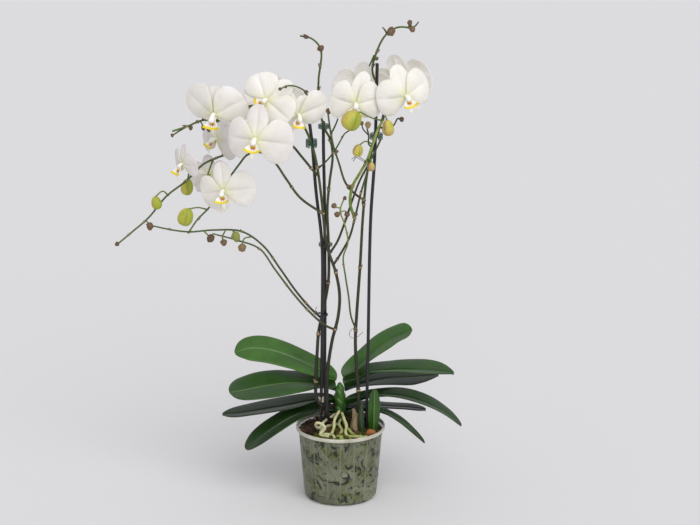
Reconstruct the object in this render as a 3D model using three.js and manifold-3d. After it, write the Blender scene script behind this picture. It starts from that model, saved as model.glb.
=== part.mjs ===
// Potted moth orchid: a Phalaenopsis with three flowering spikes, staked in a clear nursery pot.
// Millimetres, +Z up. The origin is the centre of the pot's flat underside. The front of the plant faces -Y.

import * as THREE from 'three';
import { mergeVertices } from 'three/addons/utils/BufferGeometryUtils.js';
import Module from 'manifold-3d';

const wasm = await Module();
wasm.setup();

// Driving dimensions ------------------------------------------------------------------------------

const GAP = 0.35; // clearance between pieces that touch

const POT_HEIGHT = 100;
const POT_BASE_RADIUS = 49;
const POT_WALL_TOP_RADIUS = 56.5;
const POT_RIM_RADIUS = 60;
const POT_RIM_HEIGHT = 5;
const POT_WALL = 1.3;
const POT_CORNER = 6; // rounding between wall and floor
const DRAIN_COUNT = 3;
const DRAIN_FIRST = -47; // degrees round from the front
const DRAIN_SIZE = [15, 12, 4.5]; // along the edge, inwards, upwards

const MIX_FLOOR = 2;
const MIX_EDGE_HEIGHT = 87;
const MIX_CENTRE_HEIGHT = 93;
const MIX_RIPPLE = 0.9;

const CROWN_CENTRE = [-1, 13, 128];
const CROWN_HALF = [9, 12, 42];

const STAKE_RADIUS = 2.25;
const SPIKE_RADIUS = 2.3;
const BRANCH_RADIUS = 1.5;
const TWIG_RADIUS = 1.1;
const STALK_RADIUS = 1.1;
const ROOT_RADIUS = 2;

const PETAL = { angle: 84, length: 46, width: 56, thickness: 1.5, claw: 0.72, setBack: 0, sides: 6 };
const SEPAL = { angle: 140, length: 45, width: 29, thickness: 1.5, claw: 0.3, setBack: 2.2, sides: 4 };
const COLUMN = { length: 10, width: 7, thickness: 8 };
const LIP = { drop: 21, forward: 11, width: 13, thickness: 3 };
const SIDE_LOBE = { spread: 10, forward: 14, height: 11, thickness: 2.4 };
const FLOWER_BACK = 4; // from a flower's centre to the end of its stalk

// Finishes ----------------------------------------------------------------------------------------

const finish = (color, roughness) => new THREE.MeshStandardMaterial({ color, roughness, metalness: 0 });

const FINISH = {
  pot: () => finish('#8b9080', 0.3),
  mix: () => finish('#4d3624', 0.95),
  leaf: () => finish('#2c4a22', 0.35),
  crown: () => finish('#5d7a34', 0.45),
  stem: () => finish('#4a5a2a', 0.5),
  stake: () => finish('#1d1620', 0.35),
  clip: () => finish('#5f8f7c', 0.3),
  petal: () => finish('#f1eef0', 0.55),
  bud: () => finish('#a3a45e', 0.5),
  root: () => finish('#b9b39c', 0.8),
};

const plant = new THREE.Group();

/** Adds one named piece to the plant and hands the mesh back, so that it can be placed. */
function addPiece(name, geometry, material) {
  const mesh = new THREE.Mesh(geometry, material);
  mesh.name = name;
  plant.add(mesh);
  return mesh;
}

// Solids: joining and cutting ---------------------------------------------------------------------

/** A three.js geometry as a manifold solid. */
function toSolid(geometry) {
  const bare = geometry.clone();
  bare.deleteAttribute('normal');
  bare.deleteAttribute('uv');
  const merged = mergeVertices(bare, 1e-4);
  return new wasm.Manifold(new wasm.Mesh({
    numProp: 3,
    vertProperties: new Float32Array(merged.getAttribute('position').array),
    triVerts: new Uint32Array(merged.getIndex().array),
  }));
}

/** A manifold solid as a three.js geometry. */
function toGeometry(solid) {
  const mesh = solid.getMesh();
  const geometry = new THREE.BufferGeometry();
  geometry.setAttribute('position', new THREE.BufferAttribute(new Float32Array(mesh.vertProperties), 3));
  geometry.setIndex(new THREE.BufferAttribute(new Uint32Array(mesh.triVerts), 1));
  geometry.computeVertexNormals();
  return geometry;
}

/** One solid from several that overlap. */
function join(first, ...others) {
  return toGeometry(others.reduce((solid, other) => solid.add(toSolid(other)), toSolid(first)));
}

/** The first solid with the others cut away. */
function cut(first, ...others) {
  return toGeometry(others.reduce((solid, other) => solid.subtract(toSolid(other)), toSolid(first)));
}

// Tubes -------------------------------------------------------------------------------------------

/** A regular outline with the given number of sides. */
function roundOutline(radius, sides) {
  const corners = [];
  for (let i = 0; i < sides; i += 1) {
    const angle = (2 * Math.PI * (i + 0.5)) / sides;
    corners.push(new THREE.Vector2(radius * Math.cos(angle), radius * Math.sin(angle)));
  }
  return new THREE.Shape(corners);
}

/** The smooth curve through a list of points. */
const curveThrough = (points) => new THREE.CatmullRomCurve3(points.map((point) => new THREE.Vector3(...point)));

/** A closed tube of one radius along the smooth curve through the points. */
function tube(points, radius, sides = 6, stepLength = 17) {
  const extrudePath = curveThrough(points);
  const steps = Math.max(2, Math.round(extrudePath.getLength() / stepLength));
  return new THREE.ExtrudeGeometry(roundOutline(radius, sides), { steps, extrudePath, bevelEnabled: false });
}

// Blades: leaves, petals and buds -----------------------------------------------------------------

/**
 * A sphere drawn out into a blade. Each point of the unit sphere gives its way along the blade (0 at the base, 1 at
 * the tip), across it and out of it (both -1 to 1, and 0 at the poles), and place() says where that goes.
 */
function blade(sides, rings, place) {
  const geometry = new THREE.SphereGeometry(1, sides, rings);
  const position = geometry.getAttribute('position');
  const point = new THREE.Vector3();
  for (let i = 0; i < position.count; i += 1) {
    point.fromBufferAttribute(position, i);
    place(point, (1 - point.y) / 2, point.x, point.z);
    position.setXYZ(i, point.x, point.y, point.z);
  }
  geometry.computeVertexNormals();
  return geometry;
}

/** An ellipsoid, with its long axis upright. */
function ellipsoid(centre, half, sides, rings) {
  return blade(sides, rings, (point, along, across, out) => {
    point.set(centre[0] + half[0] * across, centre[1] + half[1] * out, centre[2] + half[2] * (2 * along - 1));
  });
}

// Pot ---------------------------------------------------------------------------------------------

/** The pot's closed profile, from the middle of its underside round the outside and back down the inside. */
function potProfile() {
  const wallFoot = POT_HEIGHT - POT_RIM_HEIGHT;
  const profile = [new THREE.Vector2(0, 0)];
  const arcSteps = 2;
  for (let i = 0; i <= arcSteps; i += 1) {
    const angle = (Math.PI / 2) * (i / arcSteps);
    profile.push(new THREE.Vector2(
      POT_BASE_RADIUS - POT_CORNER + POT_CORNER * Math.sin(angle),
      POT_CORNER - POT_CORNER * Math.cos(angle),
    ));
  }
  profile.push(new THREE.Vector2(POT_WALL_TOP_RADIUS, wallFoot));
  profile.push(new THREE.Vector2(POT_RIM_RADIUS, wallFoot + 1));
  profile.push(new THREE.Vector2(POT_RIM_RADIUS, POT_HEIGHT));
  profile.push(new THREE.Vector2(POT_RIM_RADIUS - POT_WALL, POT_HEIGHT));
  profile.push(new THREE.Vector2(POT_RIM_RADIUS - POT_WALL, wallFoot + 2));
  profile.push(new THREE.Vector2(POT_WALL_TOP_RADIUS - POT_WALL, wallFoot));
  profile.push(new THREE.Vector2(POT_BASE_RADIUS - POT_WALL, POT_CORNER));
  profile.push(new THREE.Vector2(POT_BASE_RADIUS - POT_CORNER, POT_WALL));
  profile.push(new THREE.Vector2(0, POT_WALL));
  return profile;
}

/** The clear pot, with a ring of drain slots cut through the rounded edge of its floor. */
function potGeometry() {
  const shell = new THREE.LatheGeometry(potProfile(), 32);
  shell.rotateX(Math.PI / 2);
  const slots = [];
  for (let i = 0; i < DRAIN_COUNT; i += 1) {
    const slot = new THREE.BoxGeometry(...DRAIN_SIZE);
    slot.translate(0, -(POT_BASE_RADIUS - 2), 1.5);
    slot.rotateZ((2 * Math.PI * i) / DRAIN_COUNT + THREE.MathUtils.degToRad(DRAIN_FIRST));
    slots.push(slot);
  }
  return cut(shell, ...slots);
}

/** The bark mix: it fills the pot, with a low uneven mound on top. */
function mixGeometry() {
  const clearance = POT_WALL + GAP;
  const slope = (POT_WALL_TOP_RADIUS - POT_BASE_RADIUS) / (POT_HEIGHT - POT_RIM_HEIGHT - POT_CORNER);
  const edgeRadius = POT_BASE_RADIUS - clearance + slope * (MIX_EDGE_HEIGHT - POT_CORNER) - 0.2;
  const profile = [
    new THREE.Vector2(0, MIX_FLOOR),
    new THREE.Vector2(POT_BASE_RADIUS - POT_CORNER - GAP, MIX_FLOOR),
    new THREE.Vector2(POT_BASE_RADIUS - clearance - 0.2, POT_CORNER + 0.5),
    new THREE.Vector2(edgeRadius, MIX_EDGE_HEIGHT),
    new THREE.Vector2(edgeRadius * 0.78, MIX_EDGE_HEIGHT + 2),
    new THREE.Vector2(edgeRadius * 0.5, MIX_CENTRE_HEIGHT - 1.5),
    new THREE.Vector2(edgeRadius * 0.25, MIX_CENTRE_HEIGHT),
    new THREE.Vector2(0, MIX_CENTRE_HEIGHT),
  ];
  const geometry = new THREE.LatheGeometry(profile, 24);
  geometry.rotateX(Math.PI / 2);
  const position = geometry.getAttribute('position');
  for (let i = 0; i < position.count; i += 1) {
    const [x, y, z] = [position.getX(i), position.getY(i), position.getZ(i)];
    if (z > MIX_EDGE_HEIGHT + 1) {
      position.setZ(i, z + MIX_RIPPLE * Math.sin(0.21 * x + 1) * Math.cos(0.17 * y));
    }
  }
  return geometry;
}

// Stakes, spikes and branches: routes through the air, from the foot up ---------------------------

const STAKES = {
  stake_left: [[-27, -6, 22], [-27, -6, 95], [-25, -6, 180], [-24.2, -5.5, 256], [-24.2, -0.5, 352], [-32, 2, 426],
    [-37, 1, 492], [-40, 3, 516]],
  stake_middle: [[-19, 3, 22], [-20, 3, 95], [-21, 4, 180], [-20.5, 9, 256], [-20.5, 6.6, 352], [-21, 12, 424],
    [-22, 14, 480], [-22, 17, 514]],
  stake_right: [[35, -8, 22], [35, -8, 100], [37, -6, 220], [40, 0, 386], [45, 0, 470], [48, 1, 594]],
};

const SPIKES = {
  spike_left: [[-4, 4, 106], [-16, -12, 113], [-18, -16, 140], [-17, -16, 182], [-11, -13, 223], [-3, -11, 256],
    [-1, -10, 286], [-6, -8, 316], [-17, -3.2, 348], [-20, -4, 368], [-25, -4, 420], [-31, -4, 464], [-38, -5, 492],
    [-50, -2, 516], [-72, 2, 531], [-96, 2, 541], [-118, 2, 538], [-138, 4, 527], [-160, 2, 519],
    [-178, 2, 520], [-198, -12, 515], [-217, -14, 509]],
  spike_middle: [[-6, 8, 126], [-22, -12, 129], [-32, -14, 142], [-33, -12, 160], [-31, -8, 205], [-29, -1, 232],
    [-24, 1.8, 256],
    [-16, 1, 301], [-15.6, 3.4, 352], [-17, 5, 400], [-14, 7, 436], [-10, 8, 470], [-13, 10, 492], [-21, 11.5, 508],
    [-28, 12, 540], [-28, 8, 572], [-25, 8, 612], [-36, 8, 626], [-51, 8, 630]],
  spike_right: [[4, 6, 114], [22, -10, 122], [24, -11, 148], [21, -10, 190], [20, -8, 225], [22, -5, 262],
    [26, 0, 320], [30, 1, 393], [35, 4, 446], [42, 6.5, 480], [52, 10, 510], [57, 14, 530], [52, 14, 556],
    [42, 10, 582], [45, 8, 602], [58, 8, 630], [74, 8, 641], [96, 8, 640]],
};

const BRANCHES = {
  branch_low_left: { parent: 'spike_left', radius: BRANCH_RADIUS,
    route: [[-7, -12, 238], [-20, -18, 246], [-38, -18, 262], [-60, -17, 287], [-86, -14, 322], [-106, -10, 349],
      [-135, -4, 359], [-168, 0, 367]] },
  branch_far_left: { parent: 'spike_middle', radius: BRANCH_RADIUS,
    route: [[-25.4, 1.1, 250], [-40, 14, 260], [-58, 14, 282], [-80, 10, 316], [-102, 8, 348], [-130, 4, 369],
      [-168, 4, 371], [-199, 6, 368], [-222, 8, 370], [-256, 10, 377]] },
  branch_arch_inner: { parent: 'spike_left', radius: BRANCH_RADIUS,
    route: [[-22, -4, 395], [-52, -9, 418], [-70, -16, 445], [-86, -24, 471], [-103, -30, 485], [-119, -26, 481],
      [-132, -14, 464], [-150, -5, 437], [-172, -8, 405], [-188, -8, 388], [-200, -8, 370]] },
  branch_arch_outer: { parent: 'spike_left', radius: BRANCH_RADIUS,
    route: [[-28, -4, 446], [-38, -7, 458], [-50, 4, 470], [-66, 18, 484], [-96, 28, 490], [-128, 26, 480],
      [-148, 22, 470], [-163, 20, 465], [-180, 13, 458], [-202, 4, 438], [-228, 2, 418], [-253, 2, 388],
      [-274, 0, 370], [-294, 0, 353]] },
  branch_cross_back: { parent: 'spike_middle', radius: BRANCH_RADIUS,
    route: [[-15, 3, 338], [-4, -3, 357], [6, -5, 384], [15, -7, 412], [25, -8, 440], [35, -9, 460], [45, -9, 480],
      [53, -5, 496]] },
  branch_cross_front: { parent: 'spike_left', radius: BRANCH_RADIUS,
    route: [[-9.3, -7.2, 326], [1, -12, 344], [12, -15, 366], [20, -15, 396], [27, -14, 426], [34, -14, 450],
      [41, -14, 476]] },
  branch_inner_right: { parent: 'spike_right', radius: BRANCH_RADIUS,
    route: [[32, 2, 412], [19, -1, 422], [7, -3, 437], [-2, 0, 464], [-8, 3, 482], [-12, 6, 500], [-16, 8, 528]] },
  branch_light_front: { parent: 'branch_cross_front', radius: BRANCH_RADIUS,
    route: [[19, -15, 392], [13, -20, 414], [16, -22, 437], [25, -23, 454], [35, -22, 472], [42, -20, 492],
      [50, -16, 514], [56, -13, 524]] },
  branch_thin: { parent: 'spike_right', radius: TWIG_RADIUS,
    route: [[21, -7, 236], [14, -14, 258], [11, -16, 285], [7, -19, 313], [4, -21, 341], [10, -20, 361],
      [6, -17, 384], [0, -14, 402], [4, -13, 416]] },
  branch_big_bud: { parent: 'spike_left', radius: TWIG_RADIUS,
    route: [[-30, -4, 456], [-20, -10, 466], [-9, -14, 480], [0, -17, 496], [6, -24, 508], [12, -28, 513]] },
};

// Flowers: the stem that carries each, its centre, and how it faces -------------------------------
// turn is about Z (to the right is positive), nod is downwards, roll is clockwise as seen from the front, and sweep is
// how far the petals and sepals bend back. All four are in degrees.

const FLOWERS = [
  { stem: 'spike_left', centre: [-162, -44, 537], size: 1, turn: -20, nod: 26, roll: 4, sweep: 22 },
  { stem: 'spike_left', centre: [-86, 44, 531], size: 0.92, turn: 175, nod: 0, roll: -4, sweep: 10 },
  { stem: 'spike_left', centre: [-95, -55, 559], size: 0.86, turn: -8, nod: -7, roll: 55, sweep: 10 },
  { stem: 'branch_arch_inner', centre: [-108, -83, 513], size: 1, turn: -12, nod: 2, roll: 4, sweep: 14 },
  { stem: 'branch_arch_outer', centre: [-163, 20, 490], size: 0.85, turn: -52, nod: -6, roll: 4, sweep: 8 },
  { stem: 'branch_arch_outer', centre: [-206, -8, 463], size: 0.58, turn: -55, nod: 8, roll: 0, sweep: 12 },
  { stem: 'branch_arch_inner', centre: [-152, -32, 433], size: 0.93, turn: -14, nod: 6, roll: -10, sweep: 14 },
  { stem: 'spike_left', centre: [-54, -37, 535], size: 0.9, turn: 22, nod: 24, roll: 18, sweep: 12 },
  { stem: 'spike_right', centre: [20, -22, 546], size: 0.93, turn: 4, nod: 6, roll: 12, sweep: 16 },
  { stem: 'spike_right', centre: [85, -20, 556], size: 0.92, turn: 22, nod: 4, roll: -14, sweep: 20 },
  { stem: 'spike_right', centre: [82, 52, 559], size: 0.9, turn: 168, nod: 0, roll: 17, sweep: 10 },
  { stem: 'branch_arch_outer', centre: [-174, 62, 433], size: 0.62, turn: 172, nod: 0, roll: 4, sweep: 10 },
  { stem: 'spike_right', centre: [28, 50, 551], size: 0.85, turn: 178, nod: 4, roll: -6, sweep: 12 },
];

// Buds: the stem that carries each, its centre, half sizes (across, deep, long) and lean, in degrees ---

const BUDS = [
  { name: 'bud_big', stem: 'branch_light_front', centre: [15, -51, 532], half: [12.5, 12, 13.5], lean: 34 },
  { name: 'bud_right', stem: 'branch_light_front', centre: [62, -22, 515], half: [7.8, 7.5, 10.5], lean: -6 },
  { name: 'bud_centre', stem: 'branch_light_front', centre: [23, -30, 487], half: [6.6, 6.5, 8], lean: 12 },
  { name: 'bud_brown', stem: 'branch_light_front', centre: [40, -32, 466], half: [5, 5, 6], lean: 0 },
  { name: 'bud_left_yellow', stem: 'branch_arch_outer', centre: [-203, 30, 423], half: [8.2, 8, 11], lean: 8 },
  { name: 'bud_left_green', stem: 'branch_arch_outer', centre: [-241, -7, 411], half: [6.8, 6.5, 8.8], lean: -12 },
  { name: 'bud_left_low', stem: 'branch_arch_inner', centre: [-202, -22, 396], half: [10, 9.5, 12], lean: 20 },
];

// Leaves: the midrib from base to tip, full width, lean (how far the blade tips about its midrib), fold, and how
// pointed the tip is, from 0 to 1 -----------------------------------------------------------------

const LEAVES = {
  leaf_left_top: { width: 52, lean: 26, fold: 4, point: 0.6,
    midrib: [[-6, 16, 158], [-38, 26, 173], [-70, 28, 188], [-104, 28, 198], [-128, 26, 198], [-142, 24, 193]] },
  leaf_left_wide: { width: 64, lean: 14, fold: 8, point: 0.1,
    midrib: [[-7, 16, 144], [-40, 21, 151], [-72, 8, 156], [-104, -6, 156], [-132, -14, 153], [-148, -18, 152]] },
  leaf_left_low: { width: 50, lean: 2, fold: 12, point: 0.8,
    midrib: [[-7, 17, 126], [-40, 22, 125], [-76, 18, 120], [-112, 14, 115], [-142, 12, 111], [-160, 12, 110]] },
  leaf_left_droop: { width: 42, lean: 8, fold: 14, point: 0.1,
    midrib: [[-6, 14, 112], [-34, 18, 114], [-62, 6, 110], [-90, -6, 97], [-110, -13, 84], [-127, -18, 71]] },
  leaf_right_top: { width: 50, lean: -12, fold: 14, point: 0.1,
    midrib: [[5, 16, 160], [26, 22, 178], [50, 24, 200], [72, 26, 214], [86, 26, 221], [96, 26, 226]] },
  leaf_right_wide: { width: 56, lean: -2, fold: 16, point: 0.85,
    midrib: [[6, 15, 148], [36, 22, 164], [68, 12, 173], [102, 4, 176], [130, 0, 176], [152, -4, 174]] },
  leaf_right_back: { width: 46, lean: -10, fold: 6, point: 0.8,
    midrib: [[6, 20, 142], [36, 36, 148], [66, 46, 150], [98, 48, 151], [118, 45, 154], [133, 42, 156]] },
  leaf_right_hook: { width: 44, lean: 2, fold: 16, point: 0.95,
    midrib: [[6, 13, 124], [40, 12, 135], [80, 2, 140], [118, -6, 131], [145, -10, 116], [163, -12, 103]] },
  leaf_right_dark: { width: 34, lean: 4, fold: 10, point: 0.3,
    midrib: [[6, 20, 113], [34, 34, 115], [66, 38, 112], [94, 36, 111], [116, 34, 109]] },
  leaf_right_droop: { width: 24, lean: 10, fold: 20, point: 0.95,
    midrib: [[5, 9, 108], [30, 6, 118], [58, -2, 118], [80, -8, 107], [98, -12, 93], [114, -16, 80]] },
  leaf_young: { width: 17, lean: 10, fold: 8, point: 0.2,
    midrib: [[44, -12, 91], [44.6, -14, 110], [45.2, -17, 132], [45.6, -20, 157]] },
};

// Aerial roots on the mix, from the crown outwards ------------------------------------------------

const ROOTS = {
  root_left: [[-4, 4, 99], [-16, -2, 99], [-26, -20, 99], [-24, -30, 98], [-10, -34, 97], [-8, -42, 95]],
  root_front: [[0, 4, 106], [-2, -10, 104], [2, -22, 99], [-3, -34, 94], [4, -44, 92]],
  root_right: [[4, 4, 104], [8, -14, 102], [18, -30, 96], [28, -36, 93]],
};

// Clips and ties: centre, inner radius, wall and height of each ring ------------------------------

const CLIPS = [
  { name: 'clip_left', centre: [-37.5, -1.7, 490], inner: 6.3, wall: 0.9, height: 11 },
  { name: 'clip_middle', centre: [-21.4, 13.8, 509], inner: 6.2, wall: 0.9, height: 6 },
  { name: 'clip_right', centre: [47.2, 4.6, 498], inner: 7.4, wall: 0.9, height: 8 },
  { name: 'tie_upper', centre: [-19.6, 1.6, 352], inner: 8.3, wall: 0.8, height: 6 },
  { name: 'tie_lower', centre: [-24, -1.8, 256], inner: 6.5, wall: 0.8, height: 4 },
  { name: 'ring_low', centre: [-26, -6, 138], inner: 2.9, wall: 1, height: 8 },
];

// Building the pieces -----------------------------------------------------------------------------

/** The crown: the short upright stem that the leaf bases wrap. */
const crownGeometry = (grow = 0) => ellipsoid(CROWN_CENTRE, CROWN_HALF.map((half) => half + grow), 12, 8);

/** The point and the three directions of a leaf at one place along its midrib. */
function leafFrame(curve, along, lean) {
  const origin = curve.getPoint(along);
  const forward = curve.getTangent(along);
  const level = new THREE.Vector3().crossVectors(forward, new THREE.Vector3(0, 0, 1)).normalize();
  const side = level.applyAxisAngle(forward, -THREE.MathUtils.degToRad(lean));
  const top = new THREE.Vector3().crossVectors(side, forward);
  return { origin, side, top };
}

/** A thick strap leaf: widest past its middle, folded upwards along the midrib, with a blunt or a pointed tip. */
function leafGeometry({ midrib, width, lean, fold, point: sharpness, thickness = 3 }) {
  const curve = curveThrough(midrib);
  const slope = Math.tan(THREE.MathUtils.degToRad(fold));
  return blade(8, 9, (point, along, across, out) => {
    const { origin, side, top } = leafFrame(curve, along, lean);
    const taper = Math.sqrt(1 - sharpness * along ** 5);
    const spread = (width / 2) * across * (0.8 + 0.35 * along) * taper;
    point.copy(origin);
    point.addScaledVector(side, spread);
    point.addScaledVector(top, Math.abs(spread) * slope - (thickness / 2) * out);
  });
}

/**
 * One tepal, standing out from the flower's centre at an angle from straight up. It bends back by the sweep angle, its
 * edges curl back a little, and its claw is the share of its width that it loses at the base.
 */
function tepalGeometry({ angle, length, width, thickness, claw, setBack, sides, sweep }) {
  const radians = THREE.MathUtils.degToRad(angle);
  const outward = new THREE.Vector3(Math.sin(radians), 0, Math.cos(radians));
  const side = new THREE.Vector3(Math.cos(radians), 0, -Math.sin(radians));
  const back = Math.sin(THREE.MathUtils.degToRad(sweep));
  const reach = Math.cos(THREE.MathUtils.degToRad(sweep));
  return blade(sides, 5, (point, along, across, out) => {
    const spread = (width / 2) * across * (1 - claw * (1 - along) ** 2);
    point.set(0, setBack, 0);
    point.addScaledVector(outward, 1 + length * along * reach);
    point.addScaledVector(side, spread);
    point.y += length * back * along + 0.004 * spread ** 2 + (thickness / 2) * out;
  });
}

/** A small lobe from one point to another, with its width along the given axis. */
function lobeGeometry(from, to, widthAxis, width, thickness) {
  const start = new THREE.Vector3(...from);
  const end = new THREE.Vector3(...to);
  const side = new THREE.Vector3(...widthAxis);
  const top = new THREE.Vector3().crossVectors(side, end.clone().sub(start)).normalize();
  return blade(4, 3, (point, along, across, out) => {
    point.lerpVectors(start, end, along);
    point.addScaledVector(side, (width / 2) * across);
    point.addScaledVector(top, (-thickness / 2) * out);
  });
}

/** A flower facing -Y about its own centre: three sepals behind two petals, the column, and the lip's three lobes. */
function flowerGeometry(size, sweep) {
  const geometry = join(
    lobeGeometry([0, 5, 0.5], [0, -COLUMN.length, -1], [1, 0, 0], COLUMN.width, COLUMN.thickness),
    tepalGeometry({ ...SEPAL, angle: 0, sweep }),
    tepalGeometry({ ...SEPAL, sweep }),
    tepalGeometry({ ...SEPAL, angle: -SEPAL.angle, sweep }),
    tepalGeometry({ ...PETAL, sweep }),
    tepalGeometry({ ...PETAL, angle: -PETAL.angle, sweep }),
    lobeGeometry([0, -2, 0], [0, -LIP.forward, -LIP.drop], [1, 0, 0], LIP.width, LIP.thickness),
    ...[-1, 1].map((hand) => lobeGeometry(
      [0, -3, -3],
      [hand * SIDE_LOBE.spread, -SIDE_LOBE.forward, -5],
      [0, 0, 1],
      SIDE_LOBE.height,
      SIDE_LOBE.thickness,
    )),
  );
  geometry.scale(size, size, size);
  return geometry;
}

/** Where a flower goes: it first faces -Y, and then rolls, nods and turns. */
function flowerPlacing({ centre, turn, nod, roll }) {
  const [x, y, z] = [nod, roll, turn].map(THREE.MathUtils.degToRad);
  const rotation = new THREE.Quaternion().setFromEuler(new THREE.Euler(x, y, z, 'ZXY'));
  return new THREE.Matrix4().compose(new THREE.Vector3(...centre), rotation, new THREE.Vector3(1, 1, 1));
}

/** Where a bud goes: it hangs tip down, and then leans to one side. */
function budPlacing({ centre, lean }) {
  const rotation = new THREE.Quaternion().setFromAxisAngle(new THREE.Vector3(0, 1, 0), THREE.MathUtils.degToRad(lean));
  return new THREE.Matrix4().compose(new THREE.Vector3(...centre), rotation, new THREE.Vector3(1, 1, 1));
}

/** The point of a curve nearest to another point. */
function nearestOnCurve(curve, target) {
  return curve.getSpacedPoints(200).reduce((best, point) => (
    point.distanceTo(target) < best.distanceTo(target) ? point : best
  ));
}

/** The solid of a whole stem, grown all round by the given amount. */
function stemGeometry(name, grow = 0) {
  const route = SPIKES[name] ?? BRANCHES[name].route;
  const radius = SPIKES[name] ? SPIKE_RADIUS : BRANCHES[name].radius;
  return tube(route, radius + grow);
}

/**
 * The stalk of a flower or a bud: from the nearest point of its stem, out to a point straight behind the piece, and in
 * to the end that the piece sits on. It is cut clear of the stem.
 */
function stalkGeometry(stem, end, behind) {
  const start = nearestOnCurve(curveThrough(SPIKES[stem] ?? BRANCHES[stem].route), end);
  const bend = end.clone().addScaledVector(behind, 0.4 * start.distanceTo(end));
  const route = [start, bend, end].map((point) => point.toArray());
  return cut(tube(route, STALK_RADIUS, 5, 9), stemGeometry(stem, GAP));
}

/** Adds a flower or a bud, joined to its own stalk, at its place. */
function addHangingPiece({ name, stem, body, placing, end, behind, material }) {
  const stalkEnd = end.clone().applyMatrix4(placing);
  const stalk = stalkGeometry(stem, stalkEnd, behind.clone().transformDirection(placing));
  stalk.applyMatrix4(placing.clone().invert());
  const mesh = addPiece(name, join(body, stalk), material);
  mesh.applyMatrix4(placing);
}

addPiece('pot', potGeometry(), FINISH.pot());
addPiece('crown', crownGeometry(), FINISH.crown());

const stakeHoles = Object.values(STAKES).map((route) => tube(route, STAKE_RADIUS + GAP, 8, 60));
addPiece('growing_mix', cut(mixGeometry(), crownGeometry(GAP), ...stakeHoles), FINISH.mix());

for (const [name, route] of Object.entries(STAKES)) {
  addPiece(name, tube(route, STAKE_RADIUS, 8, 45), FINISH.stake());
}

for (const name of Object.keys(SPIKES)) {
  addPiece(name, cut(stemGeometry(name), crownGeometry(GAP)), FINISH.stem());
}

for (const [name, { parent }] of Object.entries(BRANCHES)) {
  addPiece(name, cut(stemGeometry(name), stemGeometry(parent, GAP)), FINISH.stem());
}

for (const [name, leaf] of Object.entries(LEAVES)) {
  const geometry = leafGeometry(leaf);
  addPiece(name, name === 'leaf_young' ? geometry : cut(geometry, crownGeometry(GAP)), FINISH.leaf());
}

for (const [name, route] of Object.entries(ROOTS)) {
  addPiece(name, cut(tube(route, ROOT_RADIUS, 6, 9), crownGeometry(GAP)), FINISH.root());
}

FLOWERS.forEach((flower, index) => {
  addHangingPiece({
    name: `flower_${String(index + 1).padStart(2, '0')}`,
    stem: flower.stem,
    body: flowerGeometry(flower.size, flower.sweep),
    placing: flowerPlacing(flower),
    end: new THREE.Vector3(0, FLOWER_BACK * flower.size, 0),
    behind: new THREE.Vector3(0, 1, 0),
    material: FINISH.petal(),
  });
});

for (const bud of BUDS) {
  addHangingPiece({
    name: bud.name,
    stem: bud.stem,
    body: ellipsoid([0, 0, 0], bud.half, 8, 6),
    placing: budPlacing(bud),
    end: new THREE.Vector3(0, 0, bud.half[2] - 1),
    behind: new THREE.Vector3(0, 0, 1),
    material: FINISH.bud(),
  });
}

for (const { name, centre, inner, wall, height } of CLIPS) {
  const profile = [
    new THREE.Vector2(inner, -height / 2),
    new THREE.Vector2(inner + wall, -height / 2),
    new THREE.Vector2(inner + wall, height / 2),
    new THREE.Vector2(inner, height / 2),
    new THREE.Vector2(inner, -height / 2),
  ];
  const geometry = new THREE.LatheGeometry(profile, 12);
  geometry.rotateX(Math.PI / 2);
  const mesh = addPiece(name, geometry, FINISH.clip());
  mesh.position.set(...centre);
}

export default plant;
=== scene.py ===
# %% [markdown]
# # Potted moth orchid
#
# A white moth orchid in a clear nursery pot: thick strap leaves, three arching flower spikes tied to dark
# stakes, and thirteen open flowers. The solid model gives every piece its place and size. This script gives
# each piece its real surface, worked out with numpy as a function of two parameters, and its real finish,
# made with shader nodes.

# %% Load the frame
import math

import bmesh
import bpy
import numpy as np
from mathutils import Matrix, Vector


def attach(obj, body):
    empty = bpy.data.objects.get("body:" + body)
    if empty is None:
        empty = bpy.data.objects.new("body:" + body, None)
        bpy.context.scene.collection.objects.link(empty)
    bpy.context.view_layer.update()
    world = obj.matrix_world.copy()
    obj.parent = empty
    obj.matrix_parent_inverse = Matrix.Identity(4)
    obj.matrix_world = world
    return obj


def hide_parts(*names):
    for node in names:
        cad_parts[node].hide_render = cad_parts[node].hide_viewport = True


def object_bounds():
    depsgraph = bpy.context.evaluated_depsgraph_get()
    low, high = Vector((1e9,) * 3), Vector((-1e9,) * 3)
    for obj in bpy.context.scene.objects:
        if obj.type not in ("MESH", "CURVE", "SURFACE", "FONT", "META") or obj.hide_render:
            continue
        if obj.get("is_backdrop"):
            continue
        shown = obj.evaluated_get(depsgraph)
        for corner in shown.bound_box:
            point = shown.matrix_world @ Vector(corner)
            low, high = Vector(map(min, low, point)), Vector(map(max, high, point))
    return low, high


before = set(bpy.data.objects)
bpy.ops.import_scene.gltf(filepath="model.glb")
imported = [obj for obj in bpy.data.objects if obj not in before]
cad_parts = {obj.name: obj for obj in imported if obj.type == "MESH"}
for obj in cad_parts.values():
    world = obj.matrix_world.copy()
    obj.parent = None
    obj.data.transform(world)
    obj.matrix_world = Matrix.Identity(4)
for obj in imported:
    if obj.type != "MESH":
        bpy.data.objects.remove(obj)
cad_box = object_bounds()
rng = np.random.default_rng(12)
MM = 0.001
print("solid model:", [[round(v, 3) for v in corner] for corner in cad_box])

# %% [markdown]
# ## Camera, floor and light
#
# A plant catalogue picture is taken with a long lens from a few metres, so that upright things stay
# parallel. The light is a big soft source from above the front and a bright even room, as in a white
# studio, because petals show their shape only when no shadow on them is hard.

# %% Camera
LENS = 123.43  # millimetres, on a sensor 36 mm wide
CAMERA_PLACE = (0.0128, -3.0524, 1.2086)
CAMERA_TILT = 16.1  # degrees below level

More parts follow.
